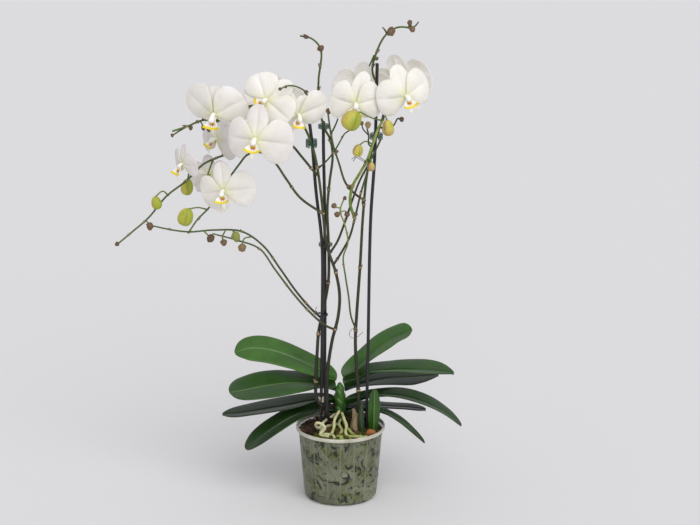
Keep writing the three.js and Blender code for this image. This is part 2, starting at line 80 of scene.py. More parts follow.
camera = bpy.data.objects.new("camera", bpy.data.cameras.new("camera"))
bpy.context.scene.collection.objects.link(camera)
bpy.context.scene.camera = camera
camera.data.lens = LENS
camera.data.clip_end = 50
camera.location = CAMERA_PLACE
camera.rotation_euler = (math.radians(90 - CAMERA_TILT), 0, 0)
print("camera with a", round(camera.data.lens), "mm lens")


# %% [markdown]
# ## Helpers for colours, nodes and materials
#
# Screen colours are sRGB codes, while a renderer counts light in linear steps, so one function turns the
# first into the second. One more function adds any shader node with its settings and links.

# %% Colour and node helpers
def colour(code, alpha=1.0):
    """sRGB hex code to linear RGBA: c / 12.92 below 0.04045, and otherwise ((c + 0.055) / 1.055) to the
    power 2.4."""
    c = np.array([int(code[i:i + 2], 16) / 255 for i in (1, 3, 5)])
    linear = np.where(c <= 0.04045, c / 12.92, ((c + 0.055) / 1.055) ** 2.4)
    return (*linear.tolist(), alpha)


def add(tree, kind, inputs=None, stops=None, **settings):
    """Adds one node. An input takes a value or another node's output, and stops are a ramp's (place,
    colour) pairs."""
    node = tree.nodes.new(kind)
    for name, value in settings.items():
        setattr(node, name, value)
    for key, value in (inputs or {}).items():
        if isinstance(value, bpy.types.NodeSocket):
            tree.links.new(value, node.inputs[key])
        else:
            node.inputs[key].default_value = value
    for i, (place, code) in enumerate(stops or []):
        element = node.color_ramp.elements[i] if i < 2 else node.color_ramp.elements.new(place)
        element.position = place
        element.color = colour(code)
    return node


def new_material(name, **values):
    """A material with one Principled shader. Returns the material, its node tree and the shader."""
    material = bpy.data.materials.new(name)
    material.use_nodes = True
    tree = material.node_tree
    tree.nodes.clear()
    shader = add(tree, "ShaderNodeBsdfPrincipled", values)
    add(tree, "ShaderNodeOutputMaterial", {"Surface": shader.outputs[0]})
    return material, tree, shader


MIX_A, MIX_B, MIX_RESULT = 6, 7, 2  # the colour sockets of a Mix node


# %% Floor, backdrop and light
def add_sun(name, place, strength, spread):
    """A far soft lamp, as wide in the sky as its spread in degrees, that shines from a place towards the
    pot."""
    lamp = bpy.data.objects.new(name, bpy.data.lights.new(name, "SUN"))
    bpy.context.scene.collection.objects.link(lamp)
    lamp.data.energy = strength
    lamp.data.angle = math.radians(spread)
    lamp.rotation_euler = (-Vector(place)).to_track_quat("-Z", "Y").to_euler()


bpy.context.scene.view_settings.view_transform = "Standard"
room = bpy.data.worlds.new("studio room")
room.use_nodes = True
room.node_tree.nodes["Background"].inputs["Color"].default_value = colour("#F4F5F8")
room.node_tree.nodes["Background"].inputs["Strength"].default_value = 0.6
bpy.context.scene.world = room
add_sun("soft key", (0.9, -2.2, 1.9), 1.75, 60)

floor_mesh = bpy.data.meshes.new("studio floor")
floor_mesh.from_pydata([(-30, -30, 0), (30, -30, 0), (30, 30, 0), (-30, 30, 0)], [], [(0, 1, 2, 3)])
floor = bpy.data.objects.new("studio_floor", floor_mesh)
bpy.context.scene.collection.objects.link(floor)
floor_paint, _, _ = new_material("matt studio paper", **{"Base Color": colour("#E8E6E7"), "Roughness": 1.0})
floor_mesh.materials.append(floor_paint)
floor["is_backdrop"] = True


# %% [markdown]
# ## Helpers for surfaces
#
# Every new piece is a grid of points: one parameter runs along the piece and one across or round it. A part
# keeps its points, its quads, a UV place for each point and a tone, a number from 0 to 1 that the material
# may read. The seam of a round part is two columns of points in one place, so that the UV map has no jump;
# they're merged at the end.

# %% Grids and parts
def grid_part(points, u=None, v=None, tone=0.5, extra=0.0):
    """A part from an array of points of shape (rows, columns, 3), in millimetres. u and v default to 0 to 1
    across the columns and along the rows, tone is one number or one for each point, and so is extra."""
    rows, columns = points.shape[:2]
    r, c = np.meshgrid(np.arange(rows - 1), np.arange(columns - 1), indexing="ij")
    a = r * columns + c
    faces = np.stack([a, a + 1, a + columns + 1, a + columns], -1).reshape(-1, 4)
    flat_v, flat_u = np.meshgrid(np.linspace(0, 1, rows), np.linspace(0, 1, columns), indexing="ij")
    return {
        "points": points.reshape(-1, 3),
        "faces": faces,
        "u": np.broadcast_to(flat_u if u is None else u, (rows, columns)).reshape(-1),
        "v": np.broadcast_to(flat_v if v is None else v, (rows, columns)).reshape(-1),
        "tone": np.broadcast_to(np.asarray(tone, float), (rows, columns)).reshape(-1),
        "extra": np.broadcast_to(np.asarray(extra, float), (rows, columns)).reshape(-1),
    }


def joined(parts):
    """One part from several: the arrays are put end to end, and each part's face numbers move up."""
    starts = np.cumsum([0] + [len(part["points"]) for part in parts[:-1]])
    arrays = ("points", "u", "v", "tone", "extra")
    whole = {key: np.concatenate([part[key] for part in parts]) for key in arrays}
    whole["faces"] = np.concatenate([part["faces"] + start for part, start in zip(parts, starts)])
    return whole


def moved(part, matrix, centre):
    """The part turned by a 3 x 3 matrix and then moved to a centre."""
    return {**part, "points": part["points"] @ np.asarray(matrix).T + np.asarray(centre)}


def add_piece(name, part, material, nodes=(), thickness=0.0, subdivide=0, merge=True):
    """Makes the object of a part, which stands for the named solids. Thickness in millimetres is added on
    both sides by Solidify, and subdivide is the level of Subdivision Surface."""
    mesh = bpy.data.meshes.new(name)
    mesh.from_pydata((part["points"] * MM).tolist(), [], part["faces"].tolist())
    corners = part["faces"].reshape(-1)
    uv = mesh.uv_layers.new(name="surface")
    uv.data.foreach_set("uv", np.stack([part["u"][corners], part["v"][corners]], -1).reshape(-1))
    for key in ("tone", "extra"):
        mesh.attributes.new(key, "FLOAT", "POINT").data.foreach_set("value", part[key].astype(np.float32))
    if merge:
        shape = bmesh.new()
        shape.from_mesh(mesh)
        bmesh.ops.remove_doubles(shape, verts=shape.verts, dist=1e-6)
        shape.to_mesh(mesh)
        shape.free()
    mesh.polygons.foreach_set("use_smooth", np.ones(len(mesh.polygons), bool))
    mesh.materials.append(material)
    piece = bpy.data.objects.new(name, mesh)
    bpy.context.scene.collection.objects.link(piece)
    if thickness:
        wall = piece.modifiers.new("wall", "SOLIDIFY")
        wall.thickness = thickness * MM
        wall.offset = 0
    if subdivide:
        smooth = piece.modifiers.new("smooth", "SUBSURF")
        smooth.levels = smooth.render_levels = subdivide
    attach(piece, "root")
    if nodes:
        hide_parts(*nodes)
    return piece


# %% Smooth lines and tubes
def curve_at(points, t):
    """Points at places t from 0 to 1 of the centripetal Catmull-Rom curve through the given points: on each
    stretch a cubic that passes through both ends, with slopes from the points on either side."""
    p = np.asarray(points, float)
    p = np.vstack([2 * p[0] - p[1], p, 2 * p[-1] - p[-2]])
    place = np.clip(np.asarray(t, float), 0, 1) * (len(p) - 3)
    k = np.minimum(place.astype(int), len(p) - 4)
    w = (place - k)[:, None]
    p0, p1, p2, p3 = (p[k + i] for i in range(4))
    chords = (p1 - p0, p2 - p1, p3 - p2)
    d0, d1, d2 = (np.linalg.norm(chord, axis=1, keepdims=True) ** 0.5 for chord in chords)
    m1 = ((p1 - p0) / d0 - (p2 - p0) / (d0 + d1) + (p2 - p1) / d1) * d1
    m2 = ((p2 - p1) / d1 - (p3 - p1) / (d1 + d2) + (p3 - p2) / d2) * d1
    return p1 + m1 * w + (3 * (p2 - p1) - 2 * m1 - m2) * w**2 + (2 * (p1 - p2) + m1 + m2) * w**3


def line_through(points, step=2.5):
    """The same curve as points about one step apart along its length."""
    dense = curve_at(points, np.linspace(0, 1, 60 * len(points)))
    length = np.concatenate([[0], np.cumsum(np.linalg.norm(np.diff(dense, axis=0), axis=1))])
    even = np.linspace(0, length[-1], max(4, int(length[-1] / step)))
    return np.stack([np.interp(even, length, dense[:, axis]) for axis in range(3)], -1)


def tube_part(line, radius, sides=10, tone=0.5, extra=0.0, round_ends=True):
    """A tube round a line. Each ring is centre + radius (cos a side + sin a up), where side and up are
    carried along the line with as little twist as possible. The first and last rings close to a point, over
    a short dome."""
    line = np.asarray(line, float)
    radius = np.broadcast_to(np.asarray(radius, float), len(line)).copy()
    tone, extra = (np.broadcast_to(np.asarray(x, float), len(line)) for x in (tone, extra))
    heading = np.gradient(line, axis=0)
    heading /= np.linalg.norm(heading, axis=1, keepdims=True)
    if round_ends:  # three more rings at each end, on a quarter circle
        bulge = np.array([0.0, 0.5, 0.85])
        head, tail = (np.sqrt(np.maximum(1 - (1 - b) ** 2, 0)) for b in (bulge, bulge))
        first = line[0] - heading[0] * radius[0] * (1 - bulge)[:, None]
        last = line[-1] + heading[-1] * radius[-1] * (1 - bulge[::-1])[:, None]
        line = np.vstack([first, line, last])
        radius = np.concatenate([radius[0] * head, radius, radius[-1] * tail[::-1]])
        heading = np.vstack([heading[:1]] * 3 + [heading] + [heading[-1:]] * 3)
        tone, extra = (np.concatenate([[x[0]] * 3, x, [x[-1]] * 3]) for x in (tone, extra))
    side = np.cross(heading[0], (0, 0, 1) if abs(heading[0][2]) < 0.9 else (0, 1, 0))
    carried = []
    for direction in heading:  # one short step for each ring, because each starts from the one before
        side = side - direction * side.dot(direction)
        side = side / np.linalg.norm(side)
        carried.append(side)
    side = np.array(carried)
    up = np.cross(heading, side)
    angle = np.linspace(0, 2 * np.pi, sides + 1)
    angle[-1] = 0
    ring = np.cos(angle)[None, :, None] * side[:, None] - np.sin(angle)[None, :, None] * up[:, None]
    length = np.concatenate([[0], np.cumsum(np.linalg.norm(np.diff(line, axis=0), axis=1))])
    return grid_part(
        line[:, None] + ring * radius[:, None, None],
        v=(length / 10)[:, None],
        tone=tone[:, None],
        extra=extra[:, None],
    )


def along_line(line):
    """The length along a line at each of its points."""
    return np.concatenate([[0], np.cumsum(np.linalg.norm(np.diff(line, axis=0), axis=1))])


print("a test tube has", len(tube_part([[0, 0, 0], [0, 0, 5], [0, 0, 9]], 1)["faces"]), "quads")

# %% [markdown]
# ## Living materials
#
# Leaves, stems and petals are all wet tissue under a thin skin of wax. Wax has an IOR of about 1.45. A
# leaf's skin is thick and smooth, so it is glossy, a stem's is satin, and a petal's skin is made of tiny
# domes, so it looks like matt velvet and lets some light through.

# %% Petal tissue
# Petals: white cells full of air, which scatter light inside the petal. UV runs across the petal (u) and
# from its claw to its tip (v), so lines of one u fan out as the veins do. tone is how much painted shade,
# a mauve grey, the tip gets: high on flowers that face away or sit in the shadow of others.
petal, tree, shader = new_material(
    "orchid petal, matt velvet", **{"Roughness": 0.6, "IOR": 1.42, "Subsurface Weight": 0.32,
                                    "Subsurface Radius": (1.0, 0.92, 0.86), "Subsurface Scale": 0.0035,
                                    "Sheen Weight": 0.12, "Sheen Roughness": 0.5})
uv = add(tree, "ShaderNodeUVMap", uv_map="surface")
place = add(tree, "ShaderNodeSeparateXYZ", {0: uv.outputs[0]})
tone = add(tree, "ShaderNodeAttribute", attribute_name="tone")
stretched = add(tree, "ShaderNodeMapping", {"Vector": uv.outputs[0], "Scale": (1.0, 0.18, 1.0)})
veins = add(tree, "ShaderNodeTexWave", {"Vector": stretched.outputs[0], "Scale": 6.5, "Distortion": 2.2,
                                        "Detail": 3.0, "Detail Scale": 2.0},
            wave_type="BANDS", bands_direction="X")
vein_line = add(tree, "ShaderNodeValToRGB", {"Fac": veins.outputs["Fac"]},
                stops=[(0.0, "#E9E6DC"), (0.35, "#FFFFFF")])
along = add(tree, "ShaderNodeValToRGB", {"Fac": place.outputs["Y"]},
            stops=[(0.0, "#DFE0A0"), (0.12, "#F0EED0"), (0.36, "#F8F4EA"), (1.0, "#FBF7F1")])
# Painted shade: towards the tip, as far as tone says, the petal is mixed towards mauve grey #D3C8D2 in place
# of shadow.
painted_shade = add(tree, "ShaderNodeMath", {0: place.outputs["Y"], 1: tone.outputs["Fac"]}, operation="MULTIPLY")
shaded = add(tree, "ShaderNodeMix", {0: painted_shade.outputs[0], MIX_A: along.outputs[0], MIX_B: colour("#D3C8D2")},
             data_type="RGBA")
coords = add(tree, "ShaderNodeTexCoord")
patches = add(tree, "ShaderNodeTexNoise", {"Vector": coords.outputs["Object"], "Scale": 55.0, "Detail": 3.0})
soft = add(tree, "ShaderNodeValToRGB", {"Fac": patches.outputs["Fac"]},
           stops=[(0.35, "#F6F5F1"), (0.65, "#FFFFFF")])
blotched = add(tree, "ShaderNodeMix", {0: 1.0, MIX_A: shaded.outputs[MIX_RESULT], MIX_B: soft.outputs[0]},
               data_type="RGBA", blend_type="MULTIPLY")
veined = add(tree, "ShaderNodeMix", {0: 0.25, MIX_A: blotched.outputs[MIX_RESULT],
                                     MIX_B: vein_line.outputs[0]},
             data_type="RGBA", blend_type="MULTIPLY")
relief = add(tree, "ShaderNodeBump", {"Height": veins.outputs["Fac"], "Strength": 0.1, "Distance": 0.0004})
tree.links.new(veined.outputs[MIX_RESULT], shader.inputs["Base Color"])
tree.links.new(relief.outputs[0], shader.inputs["Normal"])

# %% Lip tissue
# The lip: the same skin, painted for bees. extra runs from 0 on white parts to 1 on the yellow edges, and
# tone is how much of the rust-red pattern shows, which is drawn as fine broken bars.
lip_paint, tree, shader = new_material(
    "orchid lip, waxy", **{"Roughness": 0.42, "IOR": 1.43, "Subsurface Weight": 0.2,
                           "Subsurface Radius": (1.0, 0.8, 0.5), "Subsurface Scale": 0.002})
yellow = add(tree, "ShaderNodeAttribute", attribute_name="extra")
red = add(tree, "ShaderNodeAttribute", attribute_name="tone")
uv = add(tree, "ShaderNodeUVMap", uv_map="surface")
coords = add(tree, "ShaderNodeTexCoord")
grain = add(tree, "ShaderNodeTexNoise", {"Vector": coords.outputs["Object"], "Scale": 420.0, "Detail": 3.0})
ragged = add(tree, "ShaderNodeMath", {0: grain.outputs["Fac"], 1: 0.35, 2: -0.17}, operation="MULTIPLY_ADD")
yellow_edge = add(tree, "ShaderNodeMath", {0: yellow.outputs["Fac"], 1: ragged.outputs[0]}, operation="ADD")
golden = add(tree, "ShaderNodeValToRGB", {"Fac": yellow_edge.outputs[0]},
             stops=[(0.0, "#FCFAF3"), (0.34, "#F8F3CF"), (0.56, "#F0DC2C"), (1.0, "#E8CC08")])
bars = add(tree, "ShaderNodeTexWave", {"Vector": uv.outputs[0], "Scale": 3.2, "Distortion": 3.5,
                                       "Detail": 2.0},
           wave_type="BANDS", bands_direction="X")
barred = add(tree, "ShaderNodeMath", {0: bars.outputs["Fac"], 1: 0.8, 2: -0.4}, operation="MULTIPLY_ADD")
red_edge = add(tree, "ShaderNodeMath", {0: red.outputs["Fac"], 1: barred.outputs[0]}, operation="ADD")
rust = add(tree, "ShaderNodeMapRange", {"Value": red_edge.outputs[0], "From Min": 0.42, "From Max": 0.6})
painted = add(tree, "ShaderNodeMix", {0: rust.outputs[0], MIX_A: golden.outputs[0], MIX_B: colour("#B4531C")},
              data_type="RGBA")
tree.links.new(painted.outputs[MIX_RESULT], shader.inputs["Base Color"])

# %% Leaf tissue
# Leaves: dark green under thick wax, with a paler midrib and faint veins that run the length of the leaf.
# tone is how light a leaf is drawn, from 0 for a dark leaf to 1 for a bright one: partly its age and partly
# painted shade, which darkens the leaves that sit low or behind others and lightens the top ones.
leaf_paint, tree, shader = new_material(
    "orchid leaf, waxed", **{"IOR": 1.46, "Coat Weight": 0.25, "Coat Roughness": 0.2, "Coat IOR": 1.45,
                             "Subsurface Weight": 0.06, "Subsurface Scale": 0.002})
uv = add(tree, "ShaderNodeUVMap", uv_map="surface")
place = add(tree, "ShaderNodeSeparateXYZ", {0: uv.outputs[0]})
# tone here is partly the leaf's age and partly painted shade on the leaves that sit low or behind others.
age = add(tree, "ShaderNodeAttribute", attribute_name="tone")
coords = add(tree, "ShaderNodeTexCoord")
clouds = add(tree, "ShaderNodeTexNoise", {"Vector": coords.outputs["Object"], "Scale": 26.0, "Detail": 4.0,
                                          "Roughness": 0.6})
clouded = add(tree, "ShaderNodeMath", {0: clouds.outputs["Fac"], 1: 0.5, 2: -0.25}, operation="MULTIPLY_ADD")
aged = add(tree, "ShaderNodeMath", {0: age.outputs["Fac"], 1: clouded.outputs[0]}, operation="ADD")
green = add(tree, "ShaderNodeValToRGB", {"Fac": aged.outputs[0]},
            stops=[(0.0, "#0C190A"), (0.35, "#1A340F"), (0.65, "#2B5414"), (1.0, "#4C8020")])
stretched = add(tree, "ShaderNodeMapping", {"Vector": uv.outputs[0], "Scale": (1.0, 0.12, 1.0)})
veins = add(tree, "ShaderNodeTexWave", {"Vector": stretched.outputs[0], "Scale": 11.0, "Distortion": 1.5,
                                        "Detail": 2.0}, wave_type="BANDS", bands_direction="X")
vein_line = add(tree, "ShaderNodeValToRGB", {"Fac": veins.outputs["Fac"]},
                stops=[(0.0, "#D9E2D2"), (0.6, "#FFFFFF")])
striped = add(tree, "ShaderNodeMix", {0: 0.7, MIX_A: green.outputs[0], MIX_B: vein_line.outputs[0]},
              data_type="RGBA", blend_type="MULTIPLY")
middle = add(tree, "ShaderNodeMath", {0: place.outputs["X"], 1: 0.5}, operation="SUBTRACT")
distance = add(tree, "ShaderNodeMath", {0: middle.outputs[0]}, operation="ABSOLUTE")
midrib = add(tree, "ShaderNodeMapRange", {"Value": distance.outputs[0], "From Min": 0.006, "From Max": 0.028,
                                          "To Min": 0.5, "To Max": 0.0})
ribbed = add(tree, "ShaderNodeMix", {0: midrib.outputs[0], MIX_A: striped.outputs[MIX_RESULT],
                                     MIX_B: colour("#7F9D5C")}, data_type="RGBA")
specks = add(tree, "ShaderNodeTexNoise", {"Vector": coords.outputs["Object"], "Scale": 900.0, "Detail": 2.0})
gloss = add(tree, "ShaderNodeMapRange", {"Value": clouds.outputs["Fac"], "From Min": 0.3, "From Max": 0.7,
                                         "To Min": 0.32, "To Max": 0.5})
skin = add(tree, "ShaderNodeBump", {"Height": specks.outputs["Fac"], "Strength": 0.12, "Distance": 0.0002})
relief = add(tree, "ShaderNodeBump", {"Height": veins.outputs["Fac"], "Strength": 0.25, "Distance": 0.0004,
                                      "Normal": skin.outputs[0]})
tree.links.new(ribbed.outputs[MIX_RESULT], shader.inputs["Base Color"])
tree.links.new(gloss.outputs[0], shader.inputs["Roughness"])
tree.links.new(relief.outputs[0], shader.inputs["Normal"])

# %% Stem tissue
# Stems: green where they are young, brown-green below. tone runs from 0 (old and brown) to 1 (young and
# light), and extra is the scar of dry tan skin at each joint of the stem.
stem_paint, tree, shader = new_material("orchid stem, satin", **{"Roughness": 0.42, "IOR": 1.45})
age = add(tree, "ShaderNodeAttribute", attribute_name="tone")
scar = add(tree, "ShaderNodeAttribute", attribute_name="extra")
coords = add(tree, "ShaderNodeTexCoord")
mottle = add(tree, "ShaderNodeTexNoise", {"Vector": coords.outputs["Object"], "Scale": 160.0, "Detail": 4.0})
mottled = add(tree, "ShaderNodeMath", {0: mottle.outputs["Fac"], 1: 0.36, 2: -0.18}, operation="MULTIPLY_ADD")
aged = add(tree, "ShaderNodeMath", {0: age.outputs["Fac"], 1: mottled.outputs[0]}, operation="ADD")
green = add(tree, "ShaderNodeValToRGB", {"Fac": aged.outputs[0]},
            stops=[(0.0, "#1A1611"), (0.28, "#33351D"), (0.6, "#4A6128"), (0.82, "#6E8534"),
                   (1.0, "#A3B257")])
dry = add(tree, "ShaderNodeMath", {0: mottle.outputs["Fac"], 1: 0.8, 2: -0.4}, operation="MULTIPLY_ADD")
dry_edge = add(tree, "ShaderNodeMath", {0: scar.outputs["Fac"], 1: dry.outputs[0]}, operation="ADD")
scarred = add(tree, "ShaderNodeMapRange", {"Value": dry_edge.outputs[0], "From Min": 0.35, "From Max": 0.75})
stem_colour = add(tree, "ShaderNodeMix", {0: scarred.outputs[0], MIX_A: green.outputs[0],
                                          MIX_B: colour("#A08463")},
                  data_type="RGBA")
relief = add(tree, "ShaderNodeBump", {"Height": mottle.outputs["Fac"], "Strength": 0.3, "Distance": 0.0003})
tree.links.new(stem_colour.outputs[MIX_RESULT], shader.inputs["Base Color"])
tree.links.new(relief.outputs[0], shader.inputs["Normal"])

# %% Bud tissue
# Buds: three sepals shut over the rest, yellow-green, flushed with pink-brown at the seams and browner on
# the side that faces back and to the left. tone is how brown the bud is, and extra is the seam between two
# sepals.
bud_paint, tree, shader = new_material(
    "orchid bud, satin", **{"Roughness": 0.45, "IOR": 1.44, "Subsurface Weight": 0.12,
                            "Subsurface Radius": (1.0, 0.9, 0.4), "Subsurface Scale": 0.002})
brown = add(tree, "ShaderNodeAttribute", attribute_name="tone")
seam = add(tree, "ShaderNodeAttribute", attribute_name="extra")
uv = add(tree, "ShaderNodeUVMap", uv_map="surface")
coords = add(tree, "ShaderNodeTexCoord")
cloud = add(tree, "ShaderNodeTexNoise", {"Vector": coords.outputs["Object"], "Scale": 90.0, "Detail": 4.0})
clouded = add(tree, "ShaderNodeMath", {0: cloud.outputs["Fac"], 1: 0.9, 2: -0.45}, operation="MULTIPLY_ADD")
flushed = add(tree, "ShaderNodeMath", {0: brown.outputs["Fac"], 1: clouded.outputs[0]}, operation="ADD")
flush = add(tree, "ShaderNodeValToRGB", {"Fac": flushed.outputs[0]},
            stops=[(0.0, "#A5B236"), (0.28, "#D0C65A"), (0.55, "#C3A56E"), (1.0, "#7C5A3F")])
stretched = add(tree, "ShaderNodeMapping", {"Vector": uv.outputs[0], "Scale": (1.0, 0.15, 1.0)})
veins = add(tree, "ShaderNodeTexWave", {"Vector": stretched.outputs[0], "Scale": 14.0, "Distortion": 2.0,
                                        "Detail": 2.0}, wave_type="BANDS", bands_direction="X")
vein_line = add(tree, "ShaderNodeValToRGB", {"Fac": veins.outputs["Fac"]},
                stops=[(0.0, "#C9BD9A"), (0.5, "#FFFFFF")])
veined = add(tree, "ShaderNodeMix", {0: 0.6, MIX_A: flush.outputs[0], MIX_B: vein_line.outputs[0]},
             data_type="RGBA", blend_type="MULTIPLY")
seam_amount = add(tree, "ShaderNodeMath", {0: seam.outputs["Fac"], 1: 0.6}, operation="MULTIPLY")
seamed = add(tree, "ShaderNodeMix", {0: seam_amount.outputs[0], MIX_A: veined.outputs[MIX_RESULT],
                                     MIX_B: colour("#8A6A3C")}, data_type="RGBA")
relief = add(tree, "ShaderNodeBump", {"Height": veins.outputs["Fac"], "Strength": 0.2, "Distance": 0.0003})
tree.links.new(seamed.outputs[MIX_RESULT], shader.inputs["Base Color"])
tree.links.new(relief.outputs[0], shader.inputs["Normal"])

# %% Root tissue
# Roots: a silver-white sponge over a green core, so a root is chalky and pale, and greener where it is wet.
# tone runs from 0 (dry and white) to 1 (wet and green).
root_paint, tree, shader = new_material("orchid root, chalky", **{"Roughness": 0.78, "IOR": 1.4})
wet = add(tree, "ShaderNodeAttribute", attribute_name="tone")
coords = add(tree, "ShaderNodeTexCoord")
patches = add(tree, "ShaderNodeTexNoise", {"Vector": coords.outputs["Object"], "Scale": 190.0, "Detail": 5.0,
                                           "Roughness": 0.7})
patched = add(tree, "ShaderNodeMath", {0: patches.outputs["Fac"], 1: 0.9, 2: -0.45}, operation="MULTIPLY_ADD")
wetness = add(tree, "ShaderNodeMath", {0: wet.outputs["Fac"], 1: patched.outputs[0]}, operation="ADD")
skin = add(tree, "ShaderNodeValToRGB", {"Fac": wetness.outputs[0]},
           stops=[(0.0, "#D8D2B4"), (0.4, "#BDBE84"), (0.7, "#8E9C4C"), (1.0, "#46562A")])
relief = add(tree, "ShaderNodeBump", {"Height": patches.outputs["Fac"], "Strength": 0.5, "Distance": 0.0005})
tree.links.new(skin.outputs[0], shader.inputs["Base Color"])
tree.links.new(relief.outputs[0], shader.inputs["Normal"])

# %% [markdown]
# ## Dead and made materials
#
# Bark is rough, dry and full of holes. The pot is thin moulded polypropylene, clear but hazy, with a milky
# look where it is thick, at its rim. The stakes are steel wire in a smooth dark plastic coat, and the clips
# are clear tinted polycarbonate.

# %% Bark, moss and dry husk
# Bark: tone shifts each chip between dark damp brown and bright rust. The grain of pine bark is 1 to 2 mm.
bark_paint, tree, shader = new_material("pine bark, rough", **{"Roughness": 0.9})
chip = add(tree, "ShaderNodeAttribute", attribute_name="tone")
coords = add(tree, "ShaderNodeTexCoord")
grain = add(tree, "ShaderNodeTexNoise", {"Vector": coords.outputs["Object"], "Scale": 480.0, "Detail": 6.0,
                                         "Roughness": 0.75})
grained = add(tree, "ShaderNodeMath", {0: grain.outputs["Fac"], 1: 0.8, 2: -0.4}, operation="MULTIPLY_ADD")
shade = add(tree, "ShaderNodeMath", {0: chip.outputs["Fac"], 1: grained.outputs[0]}, operation="ADD")
brown = add(tree, "ShaderNodeValToRGB", {"Fac": shade.outputs[0]},
            stops=[(0.0, "#1F150E"), (0.35, "#3F2918"), (0.65, "#6B4225"), (1.0, "#A2673A")])
relief = add(tree, "ShaderNodeBump", {"Height": grain.outputs["Fac"], "Strength": 0.8, "Distance": 0.0012})
tree.links.new(brown.outputs[0], shader.inputs["Base Color"])
tree.links.new(relief.outputs[0], shader.inputs["Normal"])

# Moss: soft leaflets, yellow-green at their tips. tone is the place along a leaflet.
moss_paint, tree, shader = new_material("sphagnum moss, soft", **{"Roughness": 0.85})
tip = add(tree, "ShaderNodeAttribute", attribute_name="tone")
moss_green = add(tree, "ShaderNodeValToRGB", {"Fac": tip.outputs["Fac"]},
                 stops=[(0.0, "#22290C"), (0.45, "#586018"), (1.0, "#A7A43A")])
tree.links.new(moss_green.outputs[0], shader.inputs["Base Color"])

# Husk: an old leaf sheath, dry and papery, with brown ribs along it.
husk_paint, tree, shader = new_material("dry leaf sheath, papery", **{"Roughness": 0.75})
uv = add(tree, "ShaderNodeUVMap", uv_map="surface")
stretched = add(tree, "ShaderNodeMapping", {"Vector": uv.outputs[0], "Scale": (1.0, 0.2, 1.0)})
ribs = add(tree, "ShaderNodeTexWave", {"Vector": stretched.outputs[0], "Scale": 5.0, "Distortion": 2.5,
                                       "Detail": 3.0}, wave_type="BANDS", bands_direction="X")
paper = add(tree, "ShaderNodeValToRGB", {"Fac": ribs.outputs["Fac"]},
            stops=[(0.1, "#5E4A34"), (0.7, "#AE9A76")])
relief = add(tree, "ShaderNodeBump", {"Height": ribs.outputs["Fac"], "Strength": 0.5, "Distance": 0.0006})
tree.links.new(paper.outputs[0], shader.inputs["Base Color"])
tree.links.new(relief.outputs[0], shader.inputs["Normal"])

# Dried buds: shrivelled skin, brown with paler ridges.
knob_paint, tree, shader = new_material("dried orchid bud, wrinkled", **{"Roughness": 0.7})
coords = add(tree, "ShaderNodeTexCoord")
fresh = add(tree, "ShaderNodeAttribute", attribute_name="tone")
wrinkles = add(tree, "ShaderNodeTexNoise", {"Vector": coords.outputs["Object"], "Scale": 330.0,
                                            "Detail": 4.0})
wrinkled = add(tree, "ShaderNodeMath", {0: wrinkles.outputs["Fac"], 1: 0.7, 2: -0.35},
               operation="MULTIPLY_ADD")
dryness = add(tree, "ShaderNodeMath", {0: fresh.outputs["Fac"], 1: wrinkled.outputs[0]}, operation="ADD")
husky = add(tree, "ShaderNodeValToRGB", {"Fac": dryness.outputs[0]},
            stops=[(0.0, "#43352A"), (0.35, "#6F563F"), (0.6, "#95805C"), (1.0, "#84963A")])
relief = add(tree, "ShaderNodeBump", {"Height": wrinkles.outputs["Fac"], "Strength": 0.5, "Distance": 0.0006})
tree.links.new(husky.outputs[0], shader.inputs["Base Color"])
tree.links.new(relief.outputs[0], shader.inputs["Normal"])

# %% Pot, stake, clip and wire
# Polypropylene, IOR 1.49: thin, so it is drawn as a part-clear skin. Fine scratches and dried lime make the
# haze, algae grow on the inside as a yellow-green film, and dark blotches are where wet bark touches the
# wall. extra is 1 on a rib, where the plastic is thicker and paler.
pot_paint, tree, shader = new_material("clear polypropylene, hazy", **{"IOR": 1.49})
coords = add(tree, "ShaderNodeTexCoord")
rib = add(tree, "ShaderNodeAttribute", attribute_name="extra")
haze = add(tree, "ShaderNodeTexNoise", {"Vector": coords.outputs["Object"], "Scale": 34.0, "Detail": 5.0,
                                        "Roughness": 0.65})
hazy = add(tree, "ShaderNodeValToRGB", {"Fac": haze.outputs["Fac"]},
           stops=[(0.3, "#6A6E57"), (0.7, "#A3A58F")])
film = add(tree, "ShaderNodeTexNoise", {"Vector": coords.outputs["Object"], "Scale": 52.0, "Detail": 4.0,
                                        "Roughness": 0.6, "Distortion": 0.8})
algae = add(tree, "ShaderNodeMapRange", {"Value": film.outputs["Fac"], "From Min": 0.5, "From Max": 0.64,
                                         "To Max": 0.75})
green = add(tree, "ShaderNodeMix", {0: algae.outputs[0], MIX_A: hazy.outputs[0], MIX_B: colour("#66742A")},
            data_type="RGBA")
wet = add(tree, "ShaderNodeTexNoise", {"Vector": coords.outputs["Object"], "Scale": 78.0, "Detail": 3.0,
                                       "Roughness": 0.55, "Distortion": 1.4})
blotch = add(tree, "ShaderNodeMapRange", {"Value": wet.outputs["Fac"], "From Min": 0.545, "From Max": 0.6})
blotched = add(tree, "ShaderNodeMix", {0: blotch.outputs[0], MIX_A: green.outputs[MIX_RESULT],
                                       MIX_B: colour("#1D2A1B")}, data_type="RGBA")
pale_rib = add(tree, "ShaderNodeMath", {0: rib.outputs["Fac"], 1: 0.55}, operation="MULTIPLY")
ribbed = add(tree, "ShaderNodeMix", {0: pale_rib.outputs[0], MIX_A: blotched.outputs[MIX_RESULT],
                                     MIX_B: colour("#A5AA84")}, data_type="RGBA")
gloss = add(tree, "ShaderNodeMapRange", {"Value": haze.outputs["Fac"], "From Min": 0.3, "From Max": 0.7,
                                         "To Min": 0.2, "To Max": 0.42})
cover = add(tree, "ShaderNodeMapRange", {"Value": blotch.outputs[0], "To Min": 0.48, "To Max": 0.8})
tree.links.new(ribbed.outputs[MIX_RESULT], shader.inputs["Base Color"])
tree.links.new(gloss.outputs[0], shader.inputs["Roughness"])
tree.links.new(cover.outputs[0], shader.inputs["Alpha"])

